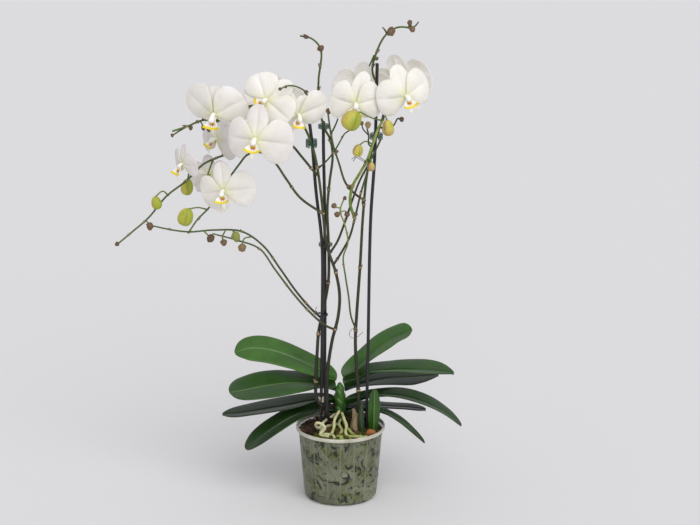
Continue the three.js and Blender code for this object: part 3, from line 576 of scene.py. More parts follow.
# The same plastic at the rim, three times as thick, looks milky.
milky_paint, tree, shader = new_material("milky polypropylene, moulded", **{
    "IOR": 1.49, "Roughness": 0.32, "Subsurface Weight": 0.3, "Subsurface Scale": 0.003})
coords = add(tree, "ShaderNodeTexCoord")
smudge = add(tree, "ShaderNodeTexNoise", {"Vector": coords.outputs["Object"], "Scale": 60.0, "Detail": 4.0})
milky = add(tree, "ShaderNodeValToRGB", {"Fac": smudge.outputs["Fac"]},
            stops=[(0.3, "#AEAC99"), (0.65, "#CBCABC")])
tree.links.new(milky.outputs[0], shader.inputs["Base Color"])

# Stakes: dark aubergine PVC coat with faint draw lines.
stake_paint, tree, shader = new_material("dark PVC coat, drawn", **{"IOR": 1.52, "Coat Weight": 0.2})
coords = add(tree, "ShaderNodeTexCoord")
lines = add(tree, "ShaderNodeMapping", {"Vector": coords.outputs["Object"], "Scale": (1.0, 1.0, 0.03)})
draw = add(tree, "ShaderNodeTexNoise", {"Vector": lines.outputs[0], "Scale": 900.0, "Detail": 2.0})
coat = add(tree, "ShaderNodeValToRGB", {"Fac": draw.outputs["Fac"]},
           stops=[(0.3, "#080508"), (0.7, "#171015")])
gloss = add(tree, "ShaderNodeMapRange", {"Value": draw.outputs["Fac"], "To Min": 0.36, "To Max": 0.5})
tree.links.new(coat.outputs[0], shader.inputs["Base Color"])
tree.links.new(gloss.outputs[0], shader.inputs["Roughness"])

# Clips: clear blue-green polycarbonate. Thin wet-looking plastic glints less than a block of it, so its IOR
# of 1.58 is drawn as 1.5.
clip_paint, tree, shader = new_material("tinted polycarbonate, clear", **{
    "IOR": 1.5, "Alpha": 0.5, "Roughness": 0.2})
coords = add(tree, "ShaderNodeTexCoord")
flow = add(tree, "ShaderNodeTexNoise", {"Vector": coords.outputs["Object"], "Scale": 260.0, "Detail": 2.0})
tint = add(tree, "ShaderNodeValToRGB", {"Fac": flow.outputs["Fac"]},
           stops=[(0.35, "#16332D"), (0.7, "#3F7565")])
tree.links.new(tint.outputs[0], shader.inputs["Base Color"])

# Wire: thin iron wire, either bare and grey or coated dark green. tone is 0 for the dark coat and 1 for
# bare iron.
wire_paint, tree, shader = new_material("garden wire, coated iron", **{"Roughness": 0.4})
coords = add(tree, "ShaderNodeTexCoord")
bare = add(tree, "ShaderNodeAttribute", attribute_name="tone")
rust = add(tree, "ShaderNodeTexNoise", {"Vector": coords.outputs["Object"], "Scale": 700.0, "Detail": 3.0})
worn = add(tree, "ShaderNodeMath", {0: rust.outputs["Fac"], 1: 0.4, 2: -0.2}, operation="MULTIPLY_ADD")
wear = add(tree, "ShaderNodeMath", {0: bare.outputs["Fac"], 1: worn.outputs[0]}, operation="ADD")
iron = add(tree, "ShaderNodeValToRGB", {"Fac": wear.outputs[0]},
           stops=[(0.1, "#14251F"), (0.9, "#6A6E70")])
tree.links.new(iron.outputs[0], shader.inputs["Base Color"])
print("materials:", len(bpy.data.materials))

# %% [markdown]
# ## The pot
#
# A nursery pot is vacuum formed from one thin sheet: a flat floor, a rounded corner, a wall that widens
# upwards, and a rim with a rolled edge. Low ribs up the wall stiffen it and lead the water down. The wall
# is a profile of radius and height carried round the axis, with a bump at every twentieth degree, and quads
# are left out at the drain slots.

# %% Pot wall and rim
POT_HEIGHT, WALL_FOOT, CORNER = 100.0, 49.0, 6.0
WALL_TOP, RIM_FOOT, RIM_RADIUS, WALL = 56.5, 95.0, 60.0, 1.3
RIBS, RIB_HEIGHT = 18, 0.7
SLOTS, FIRST_SLOT = 3, -137.0  # drain slots: how many, and where round the pot the first is, in degrees
SLOT_WIDTH, SLOT_TOP, SLOT_REACH = 15.0, 4.0, 42.0  # along the edge, up the wall, and in to this radius


def wall_radius(z):
    """Outer radius of the wall at a height: it grows evenly from the corner to just under the rim."""
    return WALL_FOOT + (WALL_TOP - WALL_FOOT) * np.clip((z - CORNER) / (RIM_FOOT - CORNER), 0, 1)


def pot_wall():
    """Grid of the wall's middle surface. Rows follow the profile, columns go round. A rib adds 0.7 exp(-(d
    / 0.9)^2) millimetres to the radius, where d is the distance round the wall from the nearest rib."""
    corner = np.linspace(0, np.pi / 2, 7)
    half = WALL / 2
    r = np.concatenate([
        [0.01, 15, 30, 40], WALL_FOOT - CORNER + (CORNER - half) * np.sin(corner),
        wall_radius(np.linspace(12, RIM_FOOT - 1, 15)) - half, [WALL_TOP + 0.6, RIM_RADIUS - 1.3]])
    z = np.concatenate([
        np.full(4, half), CORNER - (CORNER - half) * np.cos(corner),
        np.linspace(12, RIM_FOOT - 1, 15), [RIM_FOOT + 0.2, RIM_FOOT + 1.2]])
    angle = np.linspace(0, 2 * np.pi, RIBS * 16 + 1)
    spacing = 2 * np.pi / RIBS
    off_rib = (angle - np.radians(-90) + spacing / 2) % spacing - spacing / 2
    on_wall = np.clip((z - CORNER) / 6, 0, 1) * np.clip((RIM_FOOT - z) / 3, 0, 1)
    rib = RIB_HEIGHT * np.exp(-((off_rib[None] * r[:, None]) / 0.9) ** 2) * on_wall[:, None]
    radius = r[:, None] + rib
    height = np.broadcast_to(z[:, None], radius.shape)
    points = np.stack([radius * np.cos(angle), radius * np.sin(angle), height], -1)
    part = grid_part(points, extra=rib / RIB_HEIGHT)
    middle = part["points"][part["faces"]].mean(1)
    reach = np.hypot(middle[:, 0], middle[:, 1])
    around = np.degrees(np.arctan2(middle[:, 1], middle[:, 0]))
    off_slot = (around - FIRST_SLOT) % (360 / SLOTS)
    off_slot = np.minimum(off_slot, 360 / SLOTS - off_slot) * np.pi / 180 * reach
    slot = (off_slot < SLOT_WIDTH / 2) & (middle[:, 2] < SLOT_TOP) & (reach > SLOT_REACH)
    part["faces"] = part["faces"][~slot]
    return part


wall_piece = add_piece("pot_wall", pot_wall(), pot_paint, ["pot"], thickness=0.9)
print("pot wall quads:", len(wall_piece.data.polygons))


def pot_rim():
    """A rolled edge: a closed outline 1.9 mm thick and 5 mm high with round corners, carried round the
    axis."""
    t = np.linspace(0, 2 * np.pi, 17)
    t[-1] = 0
    across = np.sign(np.cos(t)) * np.abs(np.cos(t)) ** 0.6 * 1.1
    up = np.sign(np.sin(t)) * np.abs(np.sin(t)) ** 0.6 * 2.5
    angle = np.linspace(0, 2 * np.pi, 145)
    radius = (RIM_RADIUS - 1.1 + across)[None] + 0 * angle[:, None]
    height = np.broadcast_to(POT_HEIGHT - 2.5 + up, radius.shape)
    return grid_part(np.stack([radius * np.cos(angle)[:, None], radius * np.sin(angle)[:, None], height], -1))


add_piece("pot_rim", pot_rim(), milky_paint)

# %% [markdown]
# ## Bark, moss and the roots in the pot
#
# Orchids grow in coarse pine bark. Through the wall you see chips, dark wet gaps and roots that run round
# the inside. A core fills the middle, and loose chips lie on the top and against the wall: one chip shape
# with a few dozen faces, stretched and turned at random. Moss is thousands of leaflets of four faces each.

# %% Core of the filling
def mound(x, y):
    """Height of the top of the filling: 96.5 mm in the middle, falling to 93 mm at the wall, with low
    ripples."""
    r = np.hypot(x, y) / 54
    return 96.5 - 3.5 * r**2 + 0.9 * np.sin(0.21 * x + 1) * np.cos(0.17 * y)


def core():
    """A closed profile from the middle of the top, out to the wall, down and back in under, carried round
    the axis."""
    angle = np.linspace(0, 2 * np.pi, 97)
    top_r = np.linspace(0.01, 1, 16)
    z_side = np.linspace(91, 7, 24)
    r = np.concatenate([top_r * 51, wall_radius(z_side) - 4.2, [40, 20, 0.01]])[:, None]
    lump = 0.9 * np.sin(9 * angle + 0.2 * r) * np.cos(0.4 * r + 5 * angle)
    side = np.concatenate([np.zeros(16), np.ones(24), np.zeros(3)])[:, None]
    radius = r + lump * side
    x, y = radius * np.cos(angle), radius * np.sin(angle)
    z = np.concatenate([np.zeros(16), z_side, [2.6, 2.4, 2.4]])[:, None] + 0 * x
    z[:16] = mound(x, y)[:16] - 1.2
    return grid_part(np.stack([x, y, z], -1)[:, ::-1], tone=0.12)


add_piece("bark_core", core(), bark_paint, ["growing_mix"])


# %% Loose bark chips
def turns(count):
    """Random turns: three angles make each 3 x 3 matrix, as a turn about X, then Y, then Z."""
    a, b, c = rng.uniform(-1, 1, (3, count)) * np.array([[0.5], [0.5], [np.pi]])
    zero, one = np.zeros(count), np.ones(count)
    rx = np.stack([one, zero, zero, zero, np.cos(a), -np.sin(a), zero, np.sin(a), np.cos(a)], -1)
    ry = np.stack([np.cos(b), zero, np.sin(b), zero, one, zero, -np.sin(b), zero, np.cos(b)], -1)
    rz = np.stack([np.cos(c), -np.sin(c), zero, np.sin(c), np.cos(c), zero, zero, zero, one], -1)
    rx, ry, rz = (matrix.reshape(-1, 3, 3) for matrix in (rx, ry, rz))
    return rz @ ry @ rx


CHIP_POINTS = 5 * 9  # five rings, each of eight points with the first one again at the end


def chips(centres, sizes, matrices, tones):
    """One part of many chips. A chip is five rings of eight points, each ring wider towards the middle of
    its height, with every corner moved at random, and then stretched to its own length, width and
    thickness."""
    count = len(centres)
    ring = np.array([0.01, 0.78, 1.0, 0.8, 0.01])
    height = np.array([-0.5, -0.42, 0.0, 0.42, 0.5])
    angle = np.linspace(0, 2 * np.pi, 9)
    jitter = 1 + rng.uniform(-0.28, 0.28, (count, 5, 8))
    jitter = np.concatenate([jitter, jitter[..., :1]], -1)
    unit = np.stack([ring[:, None] * np.cos(angle), ring[:, None] * np.sin(angle),
                     height[:, None] + 0 * angle], -1)
    shape = unit[None] * np.stack([jitter, jitter, np.ones_like(jitter)], -1) * sizes[:, None, None, :]
    shape = np.einsum("nij,nrcj->nrci", matrices, shape) + centres[:, None, None, :]
    one = grid_part(shape[0])
    faces = one["faces"][None] + (np.arange(count) * CHIP_POINTS)[:, None, None]
    return {
        "points": shape.reshape(-1, 3),
        "faces": faces.reshape(-1, 4),
        "u": np.tile(one["u"], count),
        "v": np.tile(one["v"], count),
        "tone": np.repeat(tones, CHIP_POINTS),
        "extra": np.zeros(count * CHIP_POINTS),
    }


count = 330
r = 53 * np.sqrt(rng.uniform(0, 1, count))
angle = rng.uniform(0, 2 * np.pi, count)
x, y = r * np.cos(angle), r * np.sin(angle)
top_chips = chips(
    np.stack([x, y, mound(x, y) + rng.uniform(-0.8, 1.6, count)], -1),
    np.stack([rng.uniform(3, 7, count), rng.uniform(2, 4, count), rng.uniform(1.5, 3, count)], -1),
    turns(count), rng.uniform(0.1, 0.8, count) ** 1.2)
count = 620
angle = rng.uniform(0, 2 * np.pi, count)
z = rng.uniform(12, 92, count)
r = wall_radius(z) - rng.uniform(3.4, 5.2, count)
spin = np.stack([np.cos(angle), -np.sin(angle), 0 * angle, np.sin(angle), np.cos(angle), 0 * angle,
                 0 * angle, 0 * angle, 1 + 0 * angle], -1).reshape(-1, 3, 3)
tilt = turns(count)
flat = np.array([[0, 0, 1], [1, 0, 0], [0, 1, 0]], float)  # a chip's thickness points away from the axis
side_chips = chips(
    np.stack([r * np.cos(angle), r * np.sin(angle), z], -1),
    np.stack([rng.uniform(3, 8, count), rng.uniform(3, 6, count), rng.uniform(1.2, 2.2, count)], -1),
    spin @ flat @ tilt, rng.uniform(0.0, 0.62, count) ** 1.3)
add_piece("bark_chips", top_chips, bark_paint)
add_piece("bark_at_wall", side_chips, bark_paint)
print("chips:", (len(top_chips["points"]) + len(side_chips["points"])) // CHIP_POINTS)


# %% Moss
def moss(centres, length, spread):
    """Leaflets: thin four-faced spikes. Three corners round the foot and one at the tip, which leans at
    random."""
    count = len(centres)
    angle = rng.uniform(0, 2 * np.pi, count)
    lean = rng.uniform(0, spread, count)
    heading = np.stack([np.sin(lean) * np.cos(angle), np.sin(lean) * np.sin(angle), np.cos(lean)], -1)
    size = rng.uniform(0.6, 1.2, count)[:, None] * length
    turn = rng.uniform(0, 2 * np.pi, count)[:, None] + np.radians([0, 120, 240])
    foot = np.stack([np.cos(turn), np.sin(turn), 0 * turn], -1) * 0.42
    points = np.concatenate([centres[:, None] + foot, (centres + heading * size)[:, None]], 1)
    spike = np.array([[0, 1, 3], [1, 2, 3], [2, 0, 3], [0, 2, 1]])
    faces = spike[None] + (np.arange(count) * 4)[:, None, None]
    freshness = np.repeat(rng.uniform(0.45, 1.0, count), 4)
    return {
        "points": points.reshape(-1, 3),
        "faces": faces.reshape(-1, 3),
        "u": np.zeros(count * 4),
        "v": np.zeros(count * 4),
        "tone": np.tile([0.15, 0.15, 0.15, 1.0], count) * freshness,
        "extra": np.zeros(count * 4),
    }


LEAFLETS, CLUMPS = 5200, 46
clump = rng.integers(0, CLUMPS, LEAFLETS)
clump_r = 50 * np.sqrt(rng.uniform(0.05, 1, CLUMPS))
clump_angle = rng.normal(np.radians(-55), 0.9, CLUMPS)
x = clump_r[clump] * np.cos(clump_angle[clump]) + rng.normal(0, 4.2, LEAFLETS)
y = clump_r[clump] * np.sin(clump_angle[clump]) + rng.normal(0, 4.2, LEAFLETS)
inside = np.hypot(x, y) < 53
x, y = x[inside], y[inside]
moss_part = moss(np.stack([x, y, mound(x, y) + 0.4], -1), 3.4, 1.2)
add_piece("moss_tufts", moss_part, moss_paint, merge=False)
print("moss leaflets:", len(moss_part["points"]) // 4)


# %% Roots against the wall
def wall_root(start, z_high, z_low, drift, phase, radius):
    """A root that wanders down the inside of the wall: its angle is start + drift s + 0.12 sin(5 s +
    phase), with s from 0 at the top to 1, at 2.2 mm inside the wall."""
    s = np.linspace(0, 1, 40)
    z = z_high + (z_low - z_high) * s
    angle = start + drift * s + 0.12 * np.sin(5 * s + phase) + 0.03 * np.sin(17 * s + 2 * phase)
    r = wall_radius(z) - 1.3 - radius * 0.9
    line = np.stack([r * np.cos(angle), r * np.sin(angle), z], -1)
    return tube_part(line, radius * (1 - 0.25 * s), sides=8, tone=rng.uniform(0.5, 1.1))


roots_in_pot = [
    wall_root(rng.uniform(0, 2 * np.pi), rng.uniform(60, 90), rng.uniform(8, 40), rng.normal(0, 0.5),
              rng.uniform(0, 6), rng.uniform(1.0, 1.7))
    for _ in range(22)]
add_piece("roots_at_wall", joined(roots_in_pot), root_paint)

# %% [markdown]
# ## Stakes, spikes and branches
#
# Each runs along the same route as its solid: a smooth curve through a few points. A living stem is
# thickest at its foot and thins to its tip. At every joint there is a slight swelling with a ring of dry
# tan skin, where a small leaf once sat. The routes are in millimetres.

# %% Stakes
STAKES = {
    "stake_left": [(-27, -6, 22), (-27, -6, 95), (-25, -6, 180), (-24.2, -5.5, 256), (-24.2, -0.5, 352),
                   (-32, 2, 426), (-37, 1, 492), (-40, 3, 516)],
    "stake_middle": [(-19, 3, 22), (-20, 3, 95), (-21, 4, 180), (-20.5, 9, 256), (-20.5, 6.6, 352),
                     (-21, 12, 424), (-22, 14, 480), (-22, 17, 514)],
    "stake_right": [(35, -8, 22), (35, -8, 100), (37, -6, 220), (40, 0, 386), (45, 0, 470), (48, 1, 594)],
}
for name, route in STAKES.items():
    rod = tube_part(line_through(route, 8), 2.15, sides=12)
    add_piece(name + "_rod", rod, stake_paint, [name])
print("stakes:", len(STAKES))

# %% Spikes and branches
# Each entry: radius at the foot and at the tip, colour tone at the foot and at the tip, route in millimetres.
STEMS = {
    "spike_left": (2.45, 1.25, -0.08, 0.66, [
        (-4, 4, 106), (-16, -12, 113), (-18, -16, 140), (-17, -16, 182), (-11, -13, 223), (-3, -11, 256),
        (-1, -10, 286), (-6, -8, 316), (-17, -3.2, 348), (-20, -4, 368), (-25, -4, 420), (-31, -4, 464),
        (-38, -5, 492), (-50, -2, 516), (-72, 2, 531), (-96, 2, 541), (-118, 2, 538), (-138, 4, 527),
        (-160, 2, 519), (-178, 2, 520), (-198, -12, 515), (-217, -14, 509)]),
    "spike_middle": (2.45, 1.2, -0.08, 0.6, [
        (-6, 8, 126), (-22, -12, 129), (-32, -14, 142), (-33, -12, 160), (-31, -8, 205), (-29, -1, 232),
        (-24, 1.8, 256), (-16, 1, 301), (-15.6, 3.4, 352), (-17, 5, 400), (-14, 7, 436), (-10, 8, 470),
        (-13, 10, 492), (-21, 11.5, 508), (-28, 12, 540), (-28, 8, 572), (-25, 8, 612), (-36, 8, 626),
        (-51, 8, 630)]),
    "spike_right": (2.45, 1.2, 0.0, 0.62, [
        (4, 6, 114), (22, -10, 122), (24, -11, 148), (21, -10, 190), (20, -8, 225), (22, -5, 262),
        (26, 0, 320), (30, 1, 393), (35, 4, 446), (42, 6.5, 480), (52, 10, 510), (57, 14, 530),
        (52, 14, 556), (42, 10, 582), (45, 8, 602), (58, 8, 630), (74, 8, 641), (96, 8, 640)]),
    "branch_low_left": (1.6, 1.0, 0.28, 0.6, [
        (-7, -12, 238), (-20, -18, 246), (-38, -18, 262), (-60, -17, 287), (-86, -14, 322), (-106, -10, 349),
        (-135, -4, 359), (-168, 0, 367)]),
    "branch_far_left": (1.6, 1.0, 0.25, 0.6, [
        (-25.4, 1.1, 250), (-40, 14, 260), (-58, 14, 282), (-80, 10, 316), (-102, 8, 348), (-130, 4, 369),
        (-168, 4, 371), (-199, 6, 368), (-222, 8, 370), (-256, 10, 377)]),
    "branch_arch_inner": (1.7, 1.1, 0.28, 0.65, [
        (-22, -4, 395), (-52, -9, 418), (-70, -16, 445), (-86, -24, 471), (-103, -30, 485), (-119, -26, 481),
        (-132, -14, 464), (-150, -5, 437), (-172, -8, 405), (-188, -8, 388), (-200, -8, 370)]),
    "branch_arch_outer": (1.7, 1.1, 0.3, 0.62, [
        (-28, -4, 446), (-38, -7, 458), (-50, 4, 470), (-66, 18, 484), (-96, 28, 490), (-128, 26, 480),
        (-148, 22, 470), (-163, 20, 465), (-180, 13, 458), (-202, 4, 438), (-228, 2, 418), (-253, 2, 388),
        (-274, 0, 370), (-294, 0, 353)]),
    "branch_cross_back": (1.6, 1.2, 0.25, 0.4, [
        (-15, 3, 338), (-4, -3, 357), (6, -5, 384), (15, -7, 412), (25, -8, 440), (35, -9, 460),
        (45, -9, 480), (53, -5, 496)]),
    "branch_cross_front": (1.6, 1.2, 0.22, 0.45, [
        (-9.3, -7.2, 326), (1, -12, 344), (12, -15, 366), (20, -15, 396), (27, -14, 426), (34, -14, 450),
        (41, -14, 476)]),
    "branch_inner_right": (1.6, 1.1, 0.3, 0.62, [
        (32, 2, 412), (19, -1, 422), (7, -3, 437), (-2, 0, 464), (-8, 3, 482), (-12, 6, 500), (-16, 8, 528)]),
    "branch_light_front": (2.0, 1.7, 0.74, 0.92, [
        (19, -15, 392), (13, -20, 414), (16, -22, 437), (25, -23, 454), (35, -22, 472), (42, -20, 492),
        (50, -16, 514), (56, -13, 524)]),
    "branch_thin": (1.25, 0.9, 0.35, 0.85, [
        (21, -7, 236), (14, -14, 258), (11, -16, 285), (7, -19, 313), (4, -21, 341), (10, -20, 361),
        (6, -17, 384), (0, -14, 402), (4, -13, 416)]),
    "branch_big_bud": (1.2, 0.9, 0.3, 0.55, [
        (-30, -4, 456), (-20, -10, 466), (-9, -14, 480), (0, -17, 496), (6, -24, 508), (12, -28, 513)]),
}
# Where each stem has a joint, as places across and up.
JOINTS = {
    "spike_left": [(-7, 239), (-6, 316), (-25, 396), (-31, 457), (-60, 522), (-118, 538),
                   (-160, 519), (-186, 519), (-200, 514)],
    "spike_middle": [(-33, 165), (-29, 228), (-16, 300), (-16, 352), (-15, 425), (-12, 490), (-28, 560),
                     (-26, 590), (-25, 611), (-44, 629)],
    "spike_right": [(24, 153), (20, 236), (26, 321), (31, 407), (42, 480), (44, 590), (48, 610), (66, 636),
                    (90, 641)],
    "branch_low_left": [(-44, 268), (-72, 302), (-106, 349), (-135, 359), (-155, 363)],
    "branch_far_left": [(-33, 255), (-46, 268), (-90, 330), (-130, 369), (-199, 368), (-225, 370)],
    "branch_arch_inner": [(-27, 396), (-62, 434), (-103, 485), (-150, 437), (-186, 391)],
    "branch_arch_outer": [(-36, 458), (-96, 490), (-163, 465), (-202, 438), (-239, 404), (-258, 383),
                          (-280, 366)],
    "branch_cross_back": [(-12, 342), (7, 388), (30, 450)],
    "branch_cross_front": [(-3, 335), (17, 388), (27, 426)],
    "branch_inner_right": [(30, 412), (12, 428), (-6, 476), (-12, 500)],
    "branch_light_front": [(18, 394), (16, 437), (33, 468), (44, 498)],
    "branch_thin": [(20, 238), (5, 330), (8, 372), (1, 400)],
    "branch_big_bud": [(-28, 458), (-9, 480), (3, 502)],
}
lines = {}


def stem_part(name):
    """A tapering tube: radius = foot + (tip - foot) s, and near each joint, at a distance d, another 0.42
    exp(-(d / 1.8)^2) of it. extra, which is dry skin, is 0.7 to 1 times exp(-(d / 1.5)^2)."""
    foot, tip, old, young, route = STEMS[name]
    line = lines[name] = line_through(route, 1.5)
    length = along_line(line)
    s = length / length[-1]
    swelling, skin = np.zeros(len(line)), np.zeros(len(line))
    for x, z in JOINTS[name]:
        nearest = np.argmin(np.hypot(line[:, 0] - x, line[:, 2] - z))
        d = length - length[nearest]
        swelling = np.maximum(swelling, np.exp(-(d / 1.8) ** 2))
        skin = np.maximum(skin, np.exp(-(d / 1.5) ** 2) * rng.uniform(0.7, 1.0))
    radius = (foot + (tip - foot) * s) * (1 + 0.42 * swelling)
    return tube_part(line, radius, sides=12, tone=old + (young - old) * s**0.8, extra=skin)


for name in STEMS:
    add_piece(name + "_stem", stem_part(name), stem_paint, [name])

# %% [markdown]
# ## Leaves
#
# A strap leaf is a thick blade, folded upwards along its midrib like an open book, widest past its middle,
# with a blunt tip. The midrib is a smooth curve in space. Across it the blade rises by its fold, its edges
# roll down a little, and a groove marks the midrib. Solidify gives it 2 mm, and one subdivision rounds the
# edge.

# %% Leaves
# Each entry: full width, lean and fold in degrees, how pointed the tip is, tone from dark to light (partly
# age, partly painted shade on the low leaves and those behind others), and the midrib from base to tip.
LEAVES = {
    "leaf_left_top": (52, 26, 4, 0.6, 0.78, [
        (-6, 16, 158), (-38, 26, 173), (-70, 28, 188), (-104, 28, 198), (-128, 26, 198), (-142, 24, 193)]),
    "leaf_left_wide": (64, 14, 8, 0.1, 0.6, [
        (-7, 16, 144), (-40, 21, 151), (-72, 8, 156), (-104, -6, 156), (-132, -14, 153), (-148, -18, 152)]),
    "leaf_left_low": (50, 2, 12, 0.8, 0.3, [
        (-7, 17, 126), (-40, 22, 125), (-76, 18, 120), (-112, 14, 115), (-142, 12, 111), (-160, 12, 110)]),
    "leaf_left_droop": (42, 8, 14, 0.1, 0.38, [
        (-6, 14, 112), (-34, 18, 114), (-62, 6, 110), (-90, -6, 97), (-110, -13, 84), (-127, -18, 71)]),
    "leaf_right_top": (50, -12, 14, 0.1, 0.72, [
        (5, 16, 160), (26, 22, 178), (50, 24, 200), (72, 26, 214), (86, 26, 221), (96, 26, 226)]),
    "leaf_right_wide": (56, -2, 16, 0.85, 0.6, [
        (6, 15, 148), (36, 22, 164), (68, 12, 173), (102, 4, 176), (130, 0, 176), (152, -4, 174)]),
    "leaf_right_back": (46, -10, 6, 0.8, 0.2, [
        (6, 20, 142), (36, 36, 148), (66, 46, 150), (98, 48, 151), (118, 45, 154), (133, 42, 156)]),
    "leaf_right_hook": (44, 2, 16, 0.95, 0.42, [
        (6, 13, 124), (40, 12, 135), (80, 2, 140), (118, -6, 131), (145, -10, 116), (163, -12, 103)]),
    "leaf_right_dark": (34, 4, 10, 0.3, 0.12, [
        (6, 20, 113), (34, 34, 115), (66, 38, 112), (94, 36, 111), (116, 34, 109)]),
    "leaf_right_droop": (24, 10, 20, 0.95, 0.45, [
        (5, 9, 108), (30, 6, 118), (58, -2, 118), (80, -8, 107), (98, -12, 93), (114, -16, 80)]),
    "leaf_young": (17, 10, 8, 0.2, 0.66, [(44, -12, 91), (44.6, -14, 110), (45.2, -17, 132),
                                          (45.6, -20, 157)]),
}


def leaf_part(width, lean, fold, point, tone, midrib, phase=0.0):
    """Rows s run from base to tip and columns t from -1 to 1 across. Half width = width / 2 (4 s (1 -
    s))^0.44 (0.8 + 0.35 s) sqrt(1 - point s^5). Height above the midrib = |spread| tan(fold + 42 (1 - s)^7
    degrees) - 2.2 t^4 - 1.1 exp(-(spread / 1.6)^2) + a slow wave of 1 mm that grows towards the edges. The
    steep fold at the base clasps the crown."""
    s = (1 - np.cos(np.linspace(0.02, np.pi, 56))) / 2
    even = np.linspace(-1, 1, 31)
    t = np.sign(even) * np.abs(even) ** 1.25
    origin = curve_at(midrib, s)
    ahead, behind = curve_at(midrib, np.clip(s + 0.01, 0, 1)), curve_at(midrib, np.clip(s - 0.01, 0, 1))
    forward = (ahead - behind) / np.linalg.norm(ahead - behind, axis=1, keepdims=True)
    level = np.cross(forward, (0, 0, 1))
    level /= np.linalg.norm(level, axis=1, keepdims=True)
    angle = -math.radians(lean)
    side = level * np.cos(angle) + np.cross(forward, level) * np.sin(angle)
    top = np.cross(side, forward)
    half = width / 2 * np.maximum(4 * s * (1 - s), 0) ** 0.44 * (0.8 + 0.35 * s) * np.sqrt(1 - point * s**5)
    spread = half[:, None] * t[None]
    wave = np.sin(9 * s[:, None] + phase + 1.3 * np.sign(t)[None]) * np.abs(t)[None] ** 2
    slope = np.tan(np.radians(fold + 42 * (1 - s[:, None]) ** 7))
    height = np.abs(spread) * slope - 2.2 * t[None] ** 4 * (half[:, None] / 30)
    height = height - 1.1 * np.exp(-(spread / 1.6) ** 2) + wave * half[:, None] / 30
    points = origin[:, None] + side[:, None] * spread[..., None] + top[:, None] * height[..., None]
    return grid_part(points, u=(t[None] + 1) / 2, v=s[:, None], tone=tone)


for i, (name, entry) in enumerate(LEAVES.items()):
    part = leaf_part(*entry, phase=1.7 * i)
    add_piece(name + "_blade", part, leaf_paint, [name], thickness=1.8, subdivide=1)
print("leaves:", len(LEAVES))

# %% [markdown]
# ## Crown and aerial roots
#
# The crown is a short stem that the leaf bases wrap in turn, left and right, so it looks like stacked
# sheaths. Thick roots leave it and lie on the bark. One curls back on itself.

# %% Crown
def crown_part():
    """An ellipsoid with stepped sheaths: radius = the ellipsoid's (0.84 + 0.22 f), where f is the fraction
    of 6 s + 0.5 cos(angle), so each sheath widens upwards and the next starts inside it, left and right by
    turns."""
    s = np.linspace(0, 1, 80)
    angle = np.linspace(0, 2 * np.pi, 49)
    angle[-1] = 0
    f = (6 * s[:, None] + 0.5 * np.cos(angle)[None]) % 1.0
    ring = np.sqrt(np.maximum(1 - (2 * s - 1) ** 2, 0))[:, None] * (0.84 + 0.22 * f)
    z = 121 + 35 * (2 * s - 1)
    points = np.stack([
        -1 + 8.8 * ring * np.cos(angle), 13 + 11 * ring * np.sin(angle),
        np.broadcast_to(z[:, None], ring.shape)], -1)
    return grid_part(points, u=0.3 + 0 * ring, v=f, tone=np.clip(0.35 + 0.45 * s[:, None] + 0 * ring, 0, 1))


add_piece("crown_sheaths", crown_part(), leaf_paint, ["crown"])

# %% Aerial roots
ROOTS = {
    "root_left": (0.12, [(-4, 4, 99), (-16, -2, 99), (-26, -20, 99), (-24, -30, 98), (-10, -34, 97),
                         (-8, -42, 95)]),
    "root_front": (0.45, [(0, 4, 106), (-2, -10, 104), (2, -22, 99), (-3, -34, 94), (4, -44, 92)]),
    "root_right": (0.55, [(4, 4, 104), (8, -14, 102), (18, -30, 96), (28, -36, 93)]),
}


def root_part(route, tone):
    """A tube of uneven thickness: radius = 1.95 (1 + 0.1 sin(0.5 d) + 0.05 sin(1.7 d)), d being the
    distance along it."""
    line = line_through(route, 1.0)
    d = along_line(line)
    radius = 1.95 * (1 + 0.1 * np.sin(0.5 * d) + 0.05 * np.sin(1.7 * d))
    return tube_part(line, radius, sides=10, tone=tone + 0.25 * np.linspace(0, 1, len(line)) ** 3)


for name, (tone, route) in ROOTS.items():
    add_piece(name + "_skin", root_part(route, tone), root_paint, [name])
loose_roots = [
    (0.1, [(-6, 8, 112), (-22, -8, 107), (-29, -22, 103), (-33, -26, 108), (-31, -30, 113), (-24, -33, 112),
           (-21, -34, 106), (-27, -36, 99), (-17, -37, 96)]),
    (0.3, [(-2, 2, 118), (-8, -16, 112), (-9, -26, 104), (-12, -34, 99)]),
    (0.35, [(2, 0, 116), (5, -18, 114), (8, -27, 108), (7, -33, 100), (14, -41, 94)]),
    (0.6, [(-4, -38, 97), (2, -42, 98), (0, -46, 97), (6, -49, 95)]),
    (0.55, [(11, -38, 97), (20, -42, 98), (28, -39, 97), (33, -36, 94)]),
    (0.2, [(22, -44, 94), (29, -40, 96), (35, -35, 95)]),
]
loose = joined([root_part(route, tone) for tone, route in loose_roots])
add_piece("roots_loose", loose, root_paint)

# %% [markdown]
# ## Flowers
#
# A moth orchid's flower has three sepals behind, two broad petals in front, and a lip: a small cup with
# yellow edges and rust-red bars, a narrow tongue below it that ends in two curled whiskers, and the rounded
# column above. Each tepal is one grid. Its outline is the same formula for all of them, and its surface
# adds a crease along the midvein, a dome on either side of it, and a frill along the edge. The flower is
# made facing the front about its own centre, and is then rolled, nodded and turned into place.

